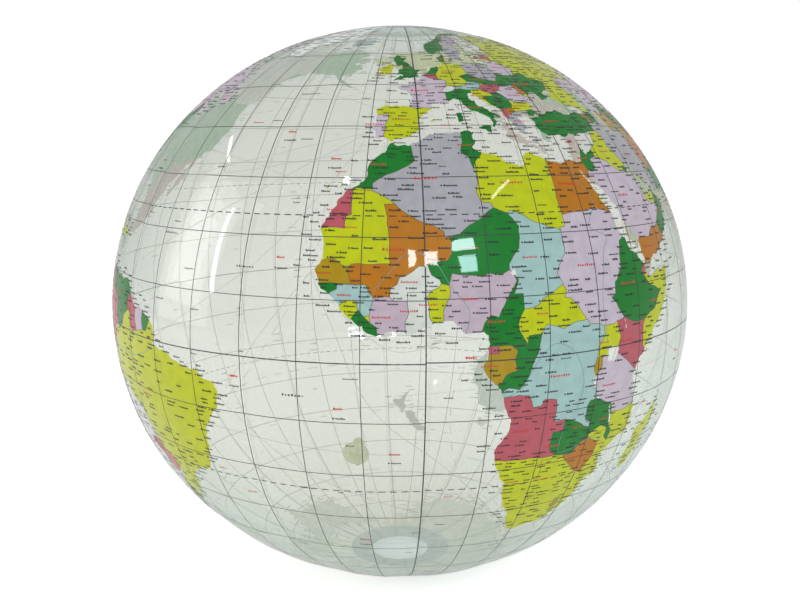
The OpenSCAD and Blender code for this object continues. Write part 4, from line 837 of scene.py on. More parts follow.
ISLANDS = """-24 16.2, -17 28.6, -16.8 33.2, -27.5 38.6, -5.7 -15.9, -14.3 -7.8, 6 0.6, -12.3 -37,
    -36 -54.3, -32 -3.8, 55.5 -21, 57.5 -20.2, 43.5 -12, 55.5 -4.6, 73 4, 72 -6, 77 -37.8, 69 -49.2,
    37.7 -46.8, 3.4 -54.4, 96.8 -12, 145 15, 158 7, 171 7.4, 173 1.3, 179 -8.5, 167.5 -16, 165 -21.5,
    178 -18, -172 -13.6, -175 -21, -160 -21.2, -149.5 -17.6, -139.5 -9.4, -130 -25, -109.4 -27.2,
    -157 -1, -157.5 1.9, -91 -0.6, -79 -33.8, -64.8 32.3"""

RIVERS = [
    "32 -1, 31.5 3, 31 8, 32.5 15.5, 34 18, 30.5 20, 33 24, 31 28, 31.2 31.3",
    "26 -10, 27 -5, 25 0, 21 2, 17.5 -1, 15.5 -4.5, 12.5 -6",
    "-10 9.5, -6 13.5, -3 16.8, 1 16, 4 11.5, 6.7 7.8, 6 4.4",
    "24 -13, 24 -17, 28 -16.5, 32 -15.6, 36 -18.6",
    "-73 -4.5, -67 -3, -60 -3.2, -55 -2.2, -50.5 -0.5",
    "-95 47, -91 43, -90 38, -91 33, -89.5 29.3",
    "91 33, 97 30, 101 27, 106 29.5, 112 30.5, 117 31, 121 31.6",
    "79 30, 83 26, 88 25, 90 22.5",
    "9 48, 13 48.4, 17 48, 19 46, 21 44.8, 26 43.8, 28.5 45.3",
    "33 57, 40 57.5, 47 56, 49 53.5, 46 49, 48 46",
    "82 51, 79 56, 69 61, 66.5 66",
]

ROUTES = [
    "-5 49.5, -25 45, -48 42, -70 41",
    "-9.7 38.6, -30 34, -60 27, -76 26",
    "-6 36, -22 33, -50 30, -74 38",
    "-9.7 38.6, -16 28, -18 15, -28 -2, -34.5 -8",
    "-17.6 14.7, -26 4, -33 -6",
    "-34.5 -8, -20 -20, 0 -29, 17.5 -34",
    "-42 -24, -20 -31, 5 -34, 17.5 -34.5",
    "17.5 -34, 5 -20, -8 -8, -14 5, -18 14.5",
    "-13.5 8.3, -5 2, 3 3.5, 8 3.6",
    "8.5 3, 4 -6, 6 -20, 16 -32",
    "-55 -36, -30 -38, 0 -38, 18 -36",
    "-50 0.5, -38 8, -25 18, -11 36",
    "-34.5 -8, -25 -3, -10 0, 8 -1",
    "-60 12, -40 22, -20 33, -9.7 38.8",
    "40.5 -4.5, 52 -3, 66 8, 73 18",
    "32.5 -29.5, 50 -27, 80 -29, 114 -32",
    "43.5 12, 55 12, 70 16, 73 18",
    "80 6, 90 5, 95.5 6.3",
    "141 34.5, 170 40, 200 42, 236 38",
    "151.5 -34, 165 -36, 174 -37",
    "202 21, 215 28, 239 34",
    "202 20, 200 0, 190 -15, 179 -19",
    "-8 43.5, -20 47, -40 50, -53 47.5",
    "-5.8 -15.9, -20 -15, -38 -13.2",
]

# ---------------------------------------------------------------- how the map is laid on the gores

# Degrees between the points of the grid that the map is cut on. Points nearer than SAME_SPOT are
# one point, and a triangle with less than half of SLIVER, in square degrees, is left out.
GRID_STEP = 2
SAME_SPOT = 1e-5
SLIVER = 1e-4
GORE_SHIFT = 0.15


def smooth(t):
    """An ease from 0 to 1."""
    t = max(0.0, min(1.0, t))
    return t * t * (3 - 2 * t)


def gore_shift(lon):
    """Each gore is welded a fraction of a degree up or down from its neighbours."""
    gore = math.floor((lon % 360) / GORE_ANGLE)
    return GORE_SHIFT * math.sin(math.pi * gore / 2 + 0.78)


def pole_fade(lat):
    """1 at the equator and 0 where the print ends."""
    return 1 - (lat / PRINT_LAT) ** 4


def land_drift(lon, lat):
    """The land inks were printed slightly out of place with the graticule."""
    lon = (lon + 180) % 360 - 180
    east = smooth((lon + 20) / 30) * (1 - 0.7 * smooth((lon - 90) / 80))
    west = smooth((-30 - lon) / 30) * (1 - smooth((-120 - lon) / 50))
    return pole_fade(lat) * (0.045 * lat * east - 1.2 * west)


def parse(text):
    """Points from text: longitude and latitude parted by a space, and points by commas."""
    return [tuple(float(v) for v in pair.split()) for pair in text.split(",")]


def wander(a, b, roughness, step, rng):
    """Points from a up to b, with b left out, along a crooked line."""
    length = math.dist(a, b)
    if length < step:
        return [a]
    offset = rng.uniform(-1, 1) * roughness * length
    x = (a[0] + b[0]) / 2 + offset * (b[1] - a[1]) / length
    y = (a[1] + b[1]) / 2 - offset * (b[0] - a[0]) / length
    return wander(a, (x, y), roughness, step, rng) + wander((x, y), b, roughness, step, rng)


def crooked(points, roughness, step):
    """A closed outline with crooked sides. A side that two outlines share comes out the same."""
    path = []
    for a, b in zip(points, points[1:] + points[:1]):
        first, last = sorted((a, b))
        stretch = wander(first, last, roughness, step, random.Random(f"{first} {last}")) + [last]
        path += (stretch if a == first else stretch[::-1])[:-1]
    return path


COAST_RINGS = [(name, crooked(parse(text), 0.17, 0.8)) for name, text in COASTS.items()]
LAKE_RINGS = [(name, crooked(parse(text), 0.12, 0.8)) for name, text in LAKES.items()]
COUNTRY_RINGS = [(name, crooked(parse(text), 0.06, 1.6)) for name, ink, text in COUNTRIES]
PLACE_INKS = {land: ink for ink, lands in LANDS_IN_INK.items() for land in lands.split()}
PLACE_INKS.update((name, ink) for name, ink, text in COUNTRIES)


def cut_side(a, b, low, high):
    """The part of the line from a to b inside the box, or None."""
    start, end = 0.0, 1.0
    for axis in (0, 1):
        run = b[axis] - a[axis]
        for limit, sign in ((low[axis], -1), (high[axis], 1)):
            room = sign * (limit - a[axis])
            step = sign * run
            if abs(step) < 1e-12:
                if room < 0:
                    return None
            elif step > 0:
                end = min(end, room / step)
            else:
                start = max(start, room / step)
    if end - start < 1e-6:
        return None
    return [(a[0] + t * (b[0] - a[0]), a[1] + t * (b[1] - a[1])) for t in (start, end)]


def rings_over(rings, low, high):
    """The outlines that reach into the box, each turned by whole turns to meet it."""
    found = []
    for name, ring in rings:
        lons = [p[0] for p in ring]
        lats = [p[1] for p in ring]
        if min(lats) >= high[1] or max(lats) <= low[1]:
            continue
        for turn in (-360, 0, 360):
            if min(lons) + turn < high[0] and max(lons) + turn > low[0]:
                found.append((name, np.array([(lon + turn, lat) for lon, lat in ring])))
    return found


def inside(points, ring):
    """Which of the points are inside the outline."""
    x, y = points[:, 0:1], points[:, 1:2]
    x0, y0 = ring[:, 0], ring[:, 1]
    x1, y1 = np.roll(x0, -1), np.roll(y0, -1)
    crosses = (y0 > y) != (y1 > y)
    with np.errstate(divide="ignore", invalid="ignore"):
        at = x0 + (y - y0) * (x1 - x0) / (y1 - y0)
    return (crosses & (x < at)).sum(axis=1) % 2 == 1


def across_gore(half):
    """Places across a gore, mirrored about its middle."""
    return half + [GORE_ANGLE / 2] + [GORE_ANGLE - c for c in reversed(half)]


def map_cells(west):
    """One gore's share of the map: corner points, triangles, and the place each one shows.
    Triangles with no area, as along the gore's own sides, are left out."""
    low, high = (west, -PRINT_LAT), (west + GORE_ANGLE, PRINT_LAT)
    lands = rings_over(COAST_RINGS, low, high)
    lakes = rings_over(LAKE_RINGS, low, high)
    states = rings_over(COUNTRY_RINGS, low, high)
    corners = [low, (high[0], low[1]), high, (low[0], high[1])]
    sides = []
    for a, b in zip(corners, corners[1:] + corners[:1]):
        sides.append([a, b])
    for name, ring in lands + lakes + states:
        for a, b in zip(ring, np.roll(ring, -1, axis=0)):
            piece = cut_side(a, b, low, high)
            if piece:
                sides.append(piece)
    points = [Vector(p) for side in sides for p in side]
    edges = [(2 * i, 2 * i + 1) for i in range(len(sides))]
    columns = across_gore([0, 0.8, 1.7, 3, 5, 7, 9, 11, 13])
    for row in range(math.floor(2 * PRINT_LAT / GRID_STEP) + 1):
        points += [Vector((west + c, -PRINT_LAT + GRID_STEP * row)) for c in columns]
    spots, _, faces, *_ = delaunay_2d_cdt(points, edges, [], 0, SAME_SPOT)
    spots = np.array([tuple(p) for p in spots])
    faces = np.array([f for f in faces if len(f) == 3])
    across, along = np.moveaxis(spots[faces[:, 1:]] - spots[faces[:, :1]], 1, 0)
    faces = faces[np.abs(across[:, 0] * along[:, 1] - across[:, 1] * along[:, 0]) > SLIVER]
    middles = spots[faces].mean(axis=1)
    places = np.full(len(faces), "", dtype=object)
    for name, ring in lands:
        places[inside(middles, ring) & (places == "")] = name
    land = places != ""
    for name, ring in states:
        places[inside(middles, ring) & land] = name
    for name, ring in lakes:
        places[inside(middles, ring)] = ""
    return spots, faces, places


# ---------------------------------------------------------------- mesh helpers


def add_mesh(name, points, faces, materials, body="globe", marks=None, sharp=35):
    """A shown piece from points and faces, riding on a body if one is given."""
    mesh = bpy.data.meshes.new(name)
    mesh.from_pydata([tuple(p) for p in points], [], faces)
    for material in materials:
        mesh.materials.append(material)
    if marks is not None:
        mesh.polygons.foreach_set("material_index", marks)
    mesh.polygons.foreach_set("use_smooth", [True] * len(mesh.polygons))
    mesh.set_sharp_from_angle(angle=math.radians(sharp))
    mesh.update()
    piece = bpy.data.objects.new(name, mesh)
    bpy.context.scene.collection.objects.link(piece)
    if body:
        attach(piece, body)
    return piece


class Print:
    """A thin closed layer of ink, gathered patch by patch and made into one piece."""

    def __init__(self, name, lift, ink, back):
        self.name, self.lift, self.inks = name, lift, [ink, back]
        self.points, self.faces, self.marks = [], [], []

    def ribbon(self, path, width):
        """A strip along a path of longitudes and latitudes."""
        first = len(self.points)
        for i, (lon, lat) in enumerate(path):
            before, after = path[max(i - 1, 0)], path[min(i + 1, len(path) - 1)]
            shrink = math.cos(math.radians(lat))
            run = Vector(((after[0] - before[0]) * shrink, after[1] - before[1])).normalized()
            reach = math.degrees(width / 2 / BALL_R)
            side = (-run.y * reach / shrink, run.x * reach)
            for sign in (1, -1):
                for lift in self.lift:
                    self.points.append(on_ball(lon + sign * side[0], lat + sign * side[1], lift))
        for i in range(len(path) - 1):
            a = first + 4 * i
            b = a + 4
            self.faces += [(a + 1, a + 3, b + 3, b + 1), (a, b, b + 2, a + 2)]
            self.faces += [(a, a + 1, b + 1, b), (a + 2, b + 2, b + 3, a + 3)]
            self.marks += [0, 1, 0, 0]
        last = first + 4 * (len(path) - 1)
        self.faces += [(first, first + 2, first + 3, first + 1), (last, last + 1, last + 3, last + 2)]
        self.marks += [0, 0]

    def patch(self, outline):
        """A flat-topped patch with the given corners, counterclockwise."""
        first, n = len(self.points), len(outline)
        for lift in self.lift:
            self.points += [on_ball(lon, lat, lift) for lon, lat in outline]
        self.faces.append(tuple(first + n + i for i in range(n)))
        self.faces.append(tuple(first + n - 1 - i for i in range(n)))
        for i in range(n):
            j = (i + 1) % n
            self.faces.append((first + i, first + j, first + n + j, first + n + i))
        self.marks += [0, 1] + [0] * n

    def make(self):
        return add_mesh(self.name, self.points, self.faces, self.inks, marks=self.marks)


# ---------------------------------------------------------------- the printed lands


def make_lands():
    """Every gore's map, gathered into one thin closed plate per ink, with pale undersides.
    Returns the borders, and the middle of every cell with its place, for the labels."""
    plates = {ink: ({}, [], []) for ink in INKS}
    borders = []
    land_spots = []
    for gore in range(GORES):
        west = -180 + GORE_ANGLE * gore
        spots, faces, places = map_cells(west)
        shift = gore_shift(west + 1)
        spots = [(lon, lat + (land_drift(lon, lat) + shift * pole_fade(lat))) for lon, lat in spots]
        edge_place = {}
        for face, place in zip(faces.tolist(), places):
            if not place:
                continue
            index, points, cells = plates[PLACE_INKS.get(place, DEFAULT_LAND_INK)]
            cell = []
            for v in face:
                if (gore, v) not in index:
                    index[gore, v] = len(points)
                    points.append(spots[v])
                cell.append(index[gore, v])
            cells.append(cell)
            middle = (sum(spots[v][0] for v in face) / 3, sum(spots[v][1] for v in face) / 3)
            land_spots.append((middle, place))
            for a, b in zip(face, face[1:] + face[:1]):
                other = edge_place.setdefault((min(a, b), max(a, b)), place)
                if other != place:
                    borders.append([spots[a], spots[b]])
    for ink, (_, points, cells) in plates.items():
        if cells:
            make_plate(ink, points, cells)
    return borders, land_spots


def make_plate(ink, points, cells):
    """One ink's plate: tops, undersides and the walls round every patch."""
    n = len(points)
    corners = [on_ball(lon, lat, lift) for lift in INK_LIFT for lon, lat in points]
    sides = {}
    for cell in cells:
        for a, b in zip(cell, cell[1:] + cell[:1]):
            sides[a, b] = True
    walls = [(a, b, b + n, a + n) for a, b in sides if (b, a) not in sides]
    faces = [tuple(v + n for v in cell) for cell in cells] + walls + [tuple(reversed(cell)) for cell in cells]
    marks = [0] * (len(cells) + len(walls)) + [1] * len(cells)
    add_mesh("print_" + ink, corners, faces, [PRINTS[ink], PAINTED_GLOW_BACKS[ink]], marks=marks)


def line_points(start, end, fixed, along_lon):
    """A stretch of a meridian or of a parallel, with a point at every step of the grid or closer."""
    steps = max(1, math.ceil(abs(end - start) / GRID_STEP))
    stretch = [start + (end - start) * i / steps for i in range(steps + 1)]
    return [(t, fixed) if along_lon else (fixed, t) for t in stretch]


LINE_WIDTH = 0.42 * MM
SEAM_WIDTH = 0.55 * MM
DASH_WIDTH = 0.6 * MM
EQUATOR_WIDTH = 0.65 * MM
PRIME_WIDTH = 0.75 * MM
FINE_WIDTH = 0.28 * MM


def make_graticule():
    """Meridians and parallels every 10 degrees, and dashed tropics and polar circles."""
    lines = Print("print_graticule", LINE_LIFT, LINE, LINE_BACK_PAINTED_GLOW)
    for lon in range(-180, 180, 10):
        on_seam = lon % GORE_ANGLE == 0
        width = PRIME_WIDTH if lon == 0 else SEAM_WIDTH if on_seam else LINE_WIDTH
        lines.ribbon(line_points(-PRINT_LAT, PRINT_LAT, lon, False), width)
    for gore in range(GORES):
        west = -180 + GORE_ANGLE * gore
        shift = gore_shift(west + 1)
        for lat in range(-70, 80, 10):
            width = EQUATOR_WIDTH if lat == 0 else LINE_WIDTH
            lines.ribbon(line_points(west, west + GORE_ANGLE, lat + shift, True), width)
        for lat in (-66.5, -23.5, 23.5, 66.5):
            for dash in range(15):
                start = west + 2 * dash + 0.3
                lines.ribbon([(start, lat + shift), (start + 1.2, lat + shift)], DASH_WIDTH)
    return lines.make()


def spline(a, b, c, d, t):
    """The Catmull-Rom curve from b at 0 to c at 1."""
    return 0.5 * (2 * b + (c - a) * t + (2 * a - 5 * b + 4 * c - d) * t**2 + (3 * b - a - 3 * c + d) * t**3)


def bend_through(text, step):
    """The points of a smooth curve through the given ones."""
    knots = parse(text)
    knots = [knots[0]] + knots + [knots[-1]]
    path = []
    for p0, p1, p2, p3 in zip(knots, knots[1:], knots[2:], knots[3:]):
        count = max(1, round(math.dist(p1, p2) / step))
        for i in range(count):
            t = i / count
            path.append(tuple(spline(*along, t) for along in zip(p0, p1, p2, p3)))
    return path + [knots[-1]]


def make_fine_lines(borders):
    """Country borders, rivers and sea routes."""
    edges = Print("print_borders", LINE_LIFT, BORDER, LINE_BACK_PAINTED_GLOW)
    for side in borders:
        edges.ribbon(side, FINE_WIDTH)
    edges.make()
    rivers = Print("print_rivers", LINE_LIFT, RIVER, TEXT_BACK_PAINTED_GLOW)
    for text in RIVERS:
        path = [(lon, lat + land_drift(lon, lat)) for lon, lat in bend_through(text, 1)]
        rivers.ribbon(path, 0.3 * MM)
    rivers.make()
    routes = Print("print_routes", LINE_LIFT, ROUTE, TEXT_BACK_PAINTED_GLOW)
    for i, text in enumerate(ROUTES):
        path = bend_through(text, 1.5)
        if i % 3:
            routes.ribbon(path, FINE_WIDTH)
        else:
            for a, b in list(zip(path, path[1:]))[::2]:
                routes.ribbon([a, b], 0.32 * MM)
    routes.make()


# ---------------------------------------------------------------- greeked lettering

# Where the names stand thicker: west, east, low and high sides of three boxes.
CROWDED = ((-12, 45, 34, 62), (-18, 16, 3, 14), (12, 35, -30, -8))

# Degrees kept free beside a name and round the valve, and squares per degree of the grid on
# which the names claim their room.
GAP = 0.3
VALVE_CLEAR = 7
COLUMNS = 2
ROWS = 5

PER_MM = math.degrees(MM / BALL_R)
MEAN_BAR = 0.68  # of a name's height


class Lettering:
    """Rows of small bars in place of words, so that nothing on the map can be read."""

    def __init__(self, seed):
        self.rng = random.Random(seed)
        self.towns_ink = Print("print_towns", LABEL_LIFT, BLACK, TEXT_BACK_PAINTED_GLOW)
        self.coast_ink = Print("print_coast_names", LABEL_LIFT, BLACK, TEXT_BACK_PAINTED_GLOW)
        self.red = Print("print_names", LABEL_LIFT, RED, TEXT_BACK_PAINTED_GLOW)
        self.taken = set()

    def free(self, lon, lat, length, height):
        """Claims the room for a word, unless another one or the valve has it."""
        from_valve = math.dist(((lon + 180) % 360, lat), (VALVE_LON - 180, VALVE_LAT))
        if abs(lat) > PRINT_LAT - 3 or from_valve < VALVE_CLEAR:
            return False
        columns = range(math.floor(COLUMNS * (lon - GAP)), math.ceil(COLUMNS * (lon + length + GAP)))
        rows = range(math.floor(ROWS * lat), math.ceil(ROWS * (lat + height)))
        room = {(x, y) for x in columns for y in rows}
        if room & self.taken:
            return False
        self.taken |= room
        return True

    def word(self, lon, lat, glyphs, height, ink, spread=0.35, dot=False):
        """A word of bars from that place eastwards. Bars differ in width and height."""
        shrink = math.cos(math.radians(lat))
        length = glyphs * height * (MEAN_BAR + spread) * PER_MM / shrink
        if not self.free(lon, lat, length, 1.7 * height * PER_MM):
            return
        x = lon
        for i in range(glyphs):
            wide = height * self.rng.uniform(0.45, 0.9) * PER_MM / shrink
            top = height * (1 if i == 0 else self.rng.choice((0.7, 0.7, 0.75, 1))) * PER_MM
            ink.patch([(x, lat), (x + wide, lat), (x + wide, lat + top), (x, lat + top)])
            x += wide + height * spread * PER_MM / shrink
        if dot:
            r = 0.55 * PER_MM
            turns = [math.radians(60 * k) for k in range(6)]
            ink.patch([(lon + (r * math.cos(t) - 0.35) / shrink, lat + r + r * math.sin(t)) for t in turns])

    def names(self, land_spots):
        """A red name over the middle of each larger country."""
        groups = {}
        for spot, place in land_spots:
            groups.setdefault(place, []).append(spot)
        for place, spots in groups.items():
            if len(spots) < 25:
                continue
            lon = sum(p[0] for p in spots) / len(spots)
            lat = sum(p[1] for p in spots) / len(spots)
            height = 1.5 if len(spots) > 110 else 1.1
            glyphs = 6 + len(place) % 3
            self.word(lon - glyphs * 0.32 * height, lat, glyphs, height, self.red, spread=0.5)

    def towns(self, land_spots):
        """Black names over the land, thicker in Europe and West Africa."""
        for (lon, lat), place in self.rng.sample(land_spots, len(land_spots)):
            crowded = any(west < lon < east and low < lat < high for west, east, low, high in CROWDED)
            if self.rng.random() < (0.9 if crowded else 0.3):
                dot = self.rng.random() < 0.4
                height = 0.95 if crowded else 1.15
                self.word(lon, lat, self.rng.randint(4, 8), height, self.towns_ink, spread=0.2, dot=dot)

    def shores(self):
        """Names of capes, bays and islands in the water off each coast."""
        for name, ring in COAST_RINGS:
            for lon, lat in ring[::3]:
                for row in range(3):
                    x = lon + self.rng.uniform(-3.6, 0.8)
                    y = lat + self.rng.uniform(-1.6, 1.2)
                    self.word(x, y, self.rng.randint(4, 8), 1.1, self.coast_ink, spread=0.2)

    def islands(self):
        """A red name and a black one beside each small group of islands."""
        for lon, lat in parse(ISLANDS):
            self.word(lon, lat, 5, 1.3, self.red, spread=0.2)
            self.word(lon + 0.3, lat - 1.7, 6, 1.1, self.coast_ink, spread=0.2, dot=True)

    def seas(self):
        """Names in open water: a few wide ones, and some small notes."""
        for lon in range(-175, 180, 9):
            for lat in range(-64, 65, 8):
                x = lon + self.rng.uniform(-3, 3)
                y = lat + self.rng.uniform(-3, 3)
                chance = self.rng.random()
                if chance < 0.03:
                    self.word(x, y, 7, 1.3, self.coast_ink, spread=0.7)
                elif chance < 0.4:
                    self.word(x, y, self.rng.randint(4, 10), 0.8, self.coast_ink, spread=0.3)
                elif chance < 0.48:
                    self.word(x, y, self.rng.randint(5, 8), 0.9, self.red, spread=0.3)


def make_lettering(land_spots):
    """All the names. The red ones claim their room first."""
    text = Lettering(7)
    text.names(land_spots)
    text.towns(land_spots)
    text.shores()
    text.islands()
    text.seas()
    for ink in (text.towns_ink, text.coast_ink, text.red):
        ink.make()


# ---------------------------------------------------------------- the film

LAP_DEPTH = 0.35 * MM
LAP_WIDTH = 3 * MM
GROOVE = 0.2
WELD_ANGLE = 7.8
WELD_BEAD = 0.12 * MM
TURN = 96  # sides of every round shape


def shell(columns, rows, outer, inner):
    """Points and faces of a closed sheet: a grid of outer points, one of inner points, and the rim."""
    wide, high = len(columns), len(rows)
    points = [outer(c, r) for r in rows for c in columns] + [inner(c, r) for r in rows for c in columns]
    n = wide * high
    faces = []
    for j in range(high - 1):
        for i in range(wide - 1):
            a = j * wide + i
            b = a + wide
            faces += [(a, a + 1, b + 1, b), (n + a, n + b, n + b + 1, n + a + 1)]
        for a, b in ((j * wide, (j + 1) * wide), ((j + 2) * wide - 1, (j + 1) * wide - 1)):
            faces.append((a, b, n + b, n + a))
    for i in range(wide - 1):
        top = n - wide + i
        faces += [(i + 1, i, n + i, n + i + 1), (top, top + 1, n + top + 1, n + top)]
    return points, faces


def make_gore(i):
    """One gore of film, with a lap along its east side that passes under the next gore."""
    west = GORE_ANGLE * (i - 1)
    panel = across_gore([GROOVE, 0.9, 1.8, 3.2, 5, 7, 9, 11, 13])[:-1] + [GORE_ANGLE]
    lap = [0.25, 0.6, 1]
    columns = [("panel", c) for c in panel] + [("lap", c) for c in lap]
    rows = [-TIP_LAT + LAT_STEP * k for k in range(round(2 * TIP_LAT / LAT_STEP) + 1)]

    def place(column, lat, depth):
        kind, at = column
        if kind == "panel":
            return on_ball(west + at, lat, -depth)
        reach = math.degrees(LAP_WIDTH * at / (BALL_R * math.cos(math.radians(lat))))
        return on_ball(west + GORE_ANGLE + reach, lat, -depth - LAP_DEPTH)

    points, faces = shell(columns, rows, lambda c, r: place(c, r, 0), lambda c, r: place(c, r, FILM_T))
    grid = len(columns) * len(rows)
    marks = [0 if all(v < grid and v % len(columns) < len(panel) for v in face) else 1 for face in faces]
    name = f"gore_{i:02d}"
    piece = add_mesh("film_" + name, points, faces, [FILM, LINING], marks=marks, sharp=18)
    if i == VALVE_GORE:
        cut_valve_hole(piece)
    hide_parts(name)
    return piece


def cut_valve_hole(piece):
    """Opens the round hole in the film over the valve's flange."""
    bpy.ops.mesh.primitive_cylinder_add(vertices=TURN, radius=HOLE_R * MM, depth=30 * MM)
    cutter = bpy.context.object
    cutter.matrix_world = VALVE
    modifier = piece.modifiers.new("hole", "BOOLEAN")
    modifier.object = cutter
    modifier.operation = "DIFFERENCE"
    modifier.solver = "EXACT"
    bpy.context.view_layer.update()
    whole = piece.evaluated_get(bpy.context.evaluated_depsgraph_get())
    mesh = bpy.data.meshes.new_from_object(whole)
    piece.modifiers.clear()
    piece.data = mesh
    bpy.data.objects.remove(cutter)


def make_cap(name, sign):
    """The round patch welded over one pole, with a raised weld ring near its rim."""
    angles = [0.75, 1.5, 3, REST_ANGLE, 6, 7.2, 7.5, WELD_ANGLE, 8.1, 8.4, 9, 9.9, 10.3, 10.5]
    points, faces = [], []
    for depth in (0, CAP_T):
        for a in angles:
            bead = WELD_BEAD * math.exp(-(((a - WELD_ANGLE) / 0.25) ** 2)) if a > 5 else 0
            lift = CAP_HEIGHT + bead - depth
            points += [on_ball(360 * k / TURN, sign * (90 - a), lift) for k in range(TURN)]
        points.append(on_ball(0, sign * 90, CAP_HEIGHT - depth))
    layer = len(angles) * TURN + 1
    for row in range(len(angles) - 1):
        for k in range(TURN):
            a, b = row * TURN + k, row * TURN + (k + 1) % TURN
            c, d = b + TURN, a + TURN
            faces += [(a, d, c, b), (layer + a, layer + b, layer + c, layer + d)]
    rim = (len(angles) - 1) * TURN
    for k in range(TURN):
        a, b = rim + k, rim + (k + 1) % TURN
        faces.append((a, layer + a, layer + b, b))
        faces += [(layer - 1, k, (k + 1) % TURN), (2 * layer - 1, layer + (k + 1) % TURN, layer + k)]
    if sign < 0:
        faces = [tuple(reversed(f)) for f in faces]
    piece = add_mesh("film_" + name, points, faces, [CAP_FILM], sharp=50)
    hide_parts(name)
    return piece


# ---------------------------------------------------------------- the valve

# All in mm in the valve's frame. Heights are negative towards the inside of the ball.
FLANGE_R = 12
HOLE_R = 8
FILM_CURVE_R = 199  # of the film round the valve
NECK_R = 5
BORE_R = 3.2
NECK_END = -16.9
STEM_R = 3.0
HEAD_R = 6.2
FLAP_R = 4.6


def in_valve(x, y, z):
    """A point given in mm in the valve's frame."""
    return VALVE @ Vector((x * MM, y * MM, z * MM))


def lathe(profile):
    """Points and faces of a profile turned about the valve's axis.
    A profile that starts and ends on the axis is closed there; any other is a closed loop."""
    solid = profile[0][0] == 0
    points, faces = [], []
    rows = profile[1:-1] if solid else profile
    for r, z in rows:
        for k in range(TURN):
            t = 2 * math.pi * k / TURN
            points.append(in_valve(r * math.cos(t), r * math.sin(t), z))
    count = len(rows)
    for i in range(count - 1 if solid else count):
        row, above = i * TURN, (i + 1) % count * TURN
        for k in range(TURN):
            after = (k + 1) % TURN
            faces.append((row + k, row + after, above + after, above + k))
    if solid:
        points += [in_valve(0, 0, profile[0][1]), in_valve(0, 0, profile[-1][1])]
        last = (count - 1) * TURN
        for k in range(TURN):
            after = (k + 1) % TURN
            faces.append((len(points) - 2, after, k))
            faces.append((len(points) - 1, last + k, last + after))
    return points, faces


def arc(cx, cz, r, start, end, steps=6):
    """Points of an arc in a profile or an outline."""
    turns = [math.radians(start + (end - start) * i / steps) for i in range(steps + 1)]
    return [(cx + r * math.cos(t), cz + r * math.sin(t)) for t in turns]


def make_valve_part(name, node, body, shells):
    """One valve piece out of closed shells."""
    points, faces = [], []
    for new_points, new_faces in shells:
        first = len(points)
        points += new_points
        faces += [tuple(first + v for v in face) for face in new_faces]
    piece = add_mesh(name, points, faces, [VINYL], body)
    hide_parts(node)
    return piece


def slab(outline, low, high):
    """A closed plate with that outline and slightly rounded edges."""
    n = len(outline)
    cx = sum(p[0] for p in outline) / n
    cy = sum(p[1] for p in outline) / n
    soft = 0.2
    levels = [(low, soft), (low + soft, 0), (high - soft, 0), (high, soft)]
    points = []
    for z, inset in levels:
        for x, y in outline:
            reach = math.hypot(x - cx, y - cy)
            k = (reach - inset) / reach
            points.append(in_valve(cx + (x - cx) * k, cy + (y - cy) * k, z))
    faces = [tuple(reversed(range(n))), tuple(3 * n + i for i in range(n))]
    for row in range(3):
        for i in range(n):
            j = (i + 1) % n
            faces.append((row * n + i, row * n + j, row * n + n + j, row * n + n + i))
    return points, faces


def make_flange():
    """Ring welded inside the film, with two weld beads."""

    def below_film(r, depth):
        return (r, -(r**2) / (2 * FILM_CURVE_R) - depth)

    edge = below_film(FLANGE_R, 0)[1]
    top = [below_film(r, 0.38) for r in (HOLE_R, 9, 10, 11, FLANGE_R - 0.3)]
    steps = ((0.05, 0.5), (0, 0.75), (0.05, 1.0), (0.3, 1.15))
    rim = [(FLANGE_R - inset, edge - depth) for inset, depth in steps]
    beads = []
    for centre in (11, 9.3):
        sag = below_film(centre, 0)[1]
        beads += [(centre + 0.4, sag - 1.17), (centre, sag - 1.42), (centre - 0.4, sag - 1.17)]
    profile = top + rim + beads + [below_film(HOLE_R, 1.15)]
    return make_valve_part("valve_flange_ring", "valve_flange", "globe", [lathe(profile[::-1])])


def make_skirt():
    """Soft sleeve from the flange's hole to the neck."""
    top, bend = -0.4, -2.6
    outer = [(7.94, top), (7.94, bend)] + arc(6.94, -3.5, 1.0, 0, -70, 5)[1:]
    outer += arc(6.1, -3.6, 1.0, -110, -180, 5)
    inner = [(5.12, -2.7), (5.62, -2.7), (5.6, -3.6)] + arc(6.15, -3.6, 0.5, 180, 250, 4)[1:]
    inner += arc(6.9, -3.5, 0.5, -70, 0, 4) + [(7.44, bend), (7.44, top)]
    points, faces = lathe((outer + inner)[::-1])
    piece = add_mesh("valve_skirt_sleeve", points, faces, [VINYL], None)
    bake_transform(piece)
    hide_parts("valve_skirt")
    return piece


def make_neck():
    """The tube that is blown through, with a rounded lip and two grip rings."""
    outer = [(NECK_R - 0.25, NECK_END), (NECK_R, NECK_END + 0.3), (NECK_R, -13)]
    for ring in (-12.4, -11):
        outer += [(NECK_R, ring - 0.4), (NECK_R + 0.08, ring), (NECK_R, ring + 0.4)]
    outer += [(NECK_R, -0.4), (NECK_R + 0.05, 0.1)] + arc(4.72, 0.76, 0.34, -10, 90, 5)
    inner = arc(BORE_R + 0.4, 0.8, 0.3, 90, 180, 4)
    inner += [(BORE_R, 0.4), (BORE_R, NECK_END + 0.3), (BORE_R + 0.25, NECK_END)]
    return make_valve_part("valve_neck_tube", "valve_neck", "neck", [lathe(outer + inner)])


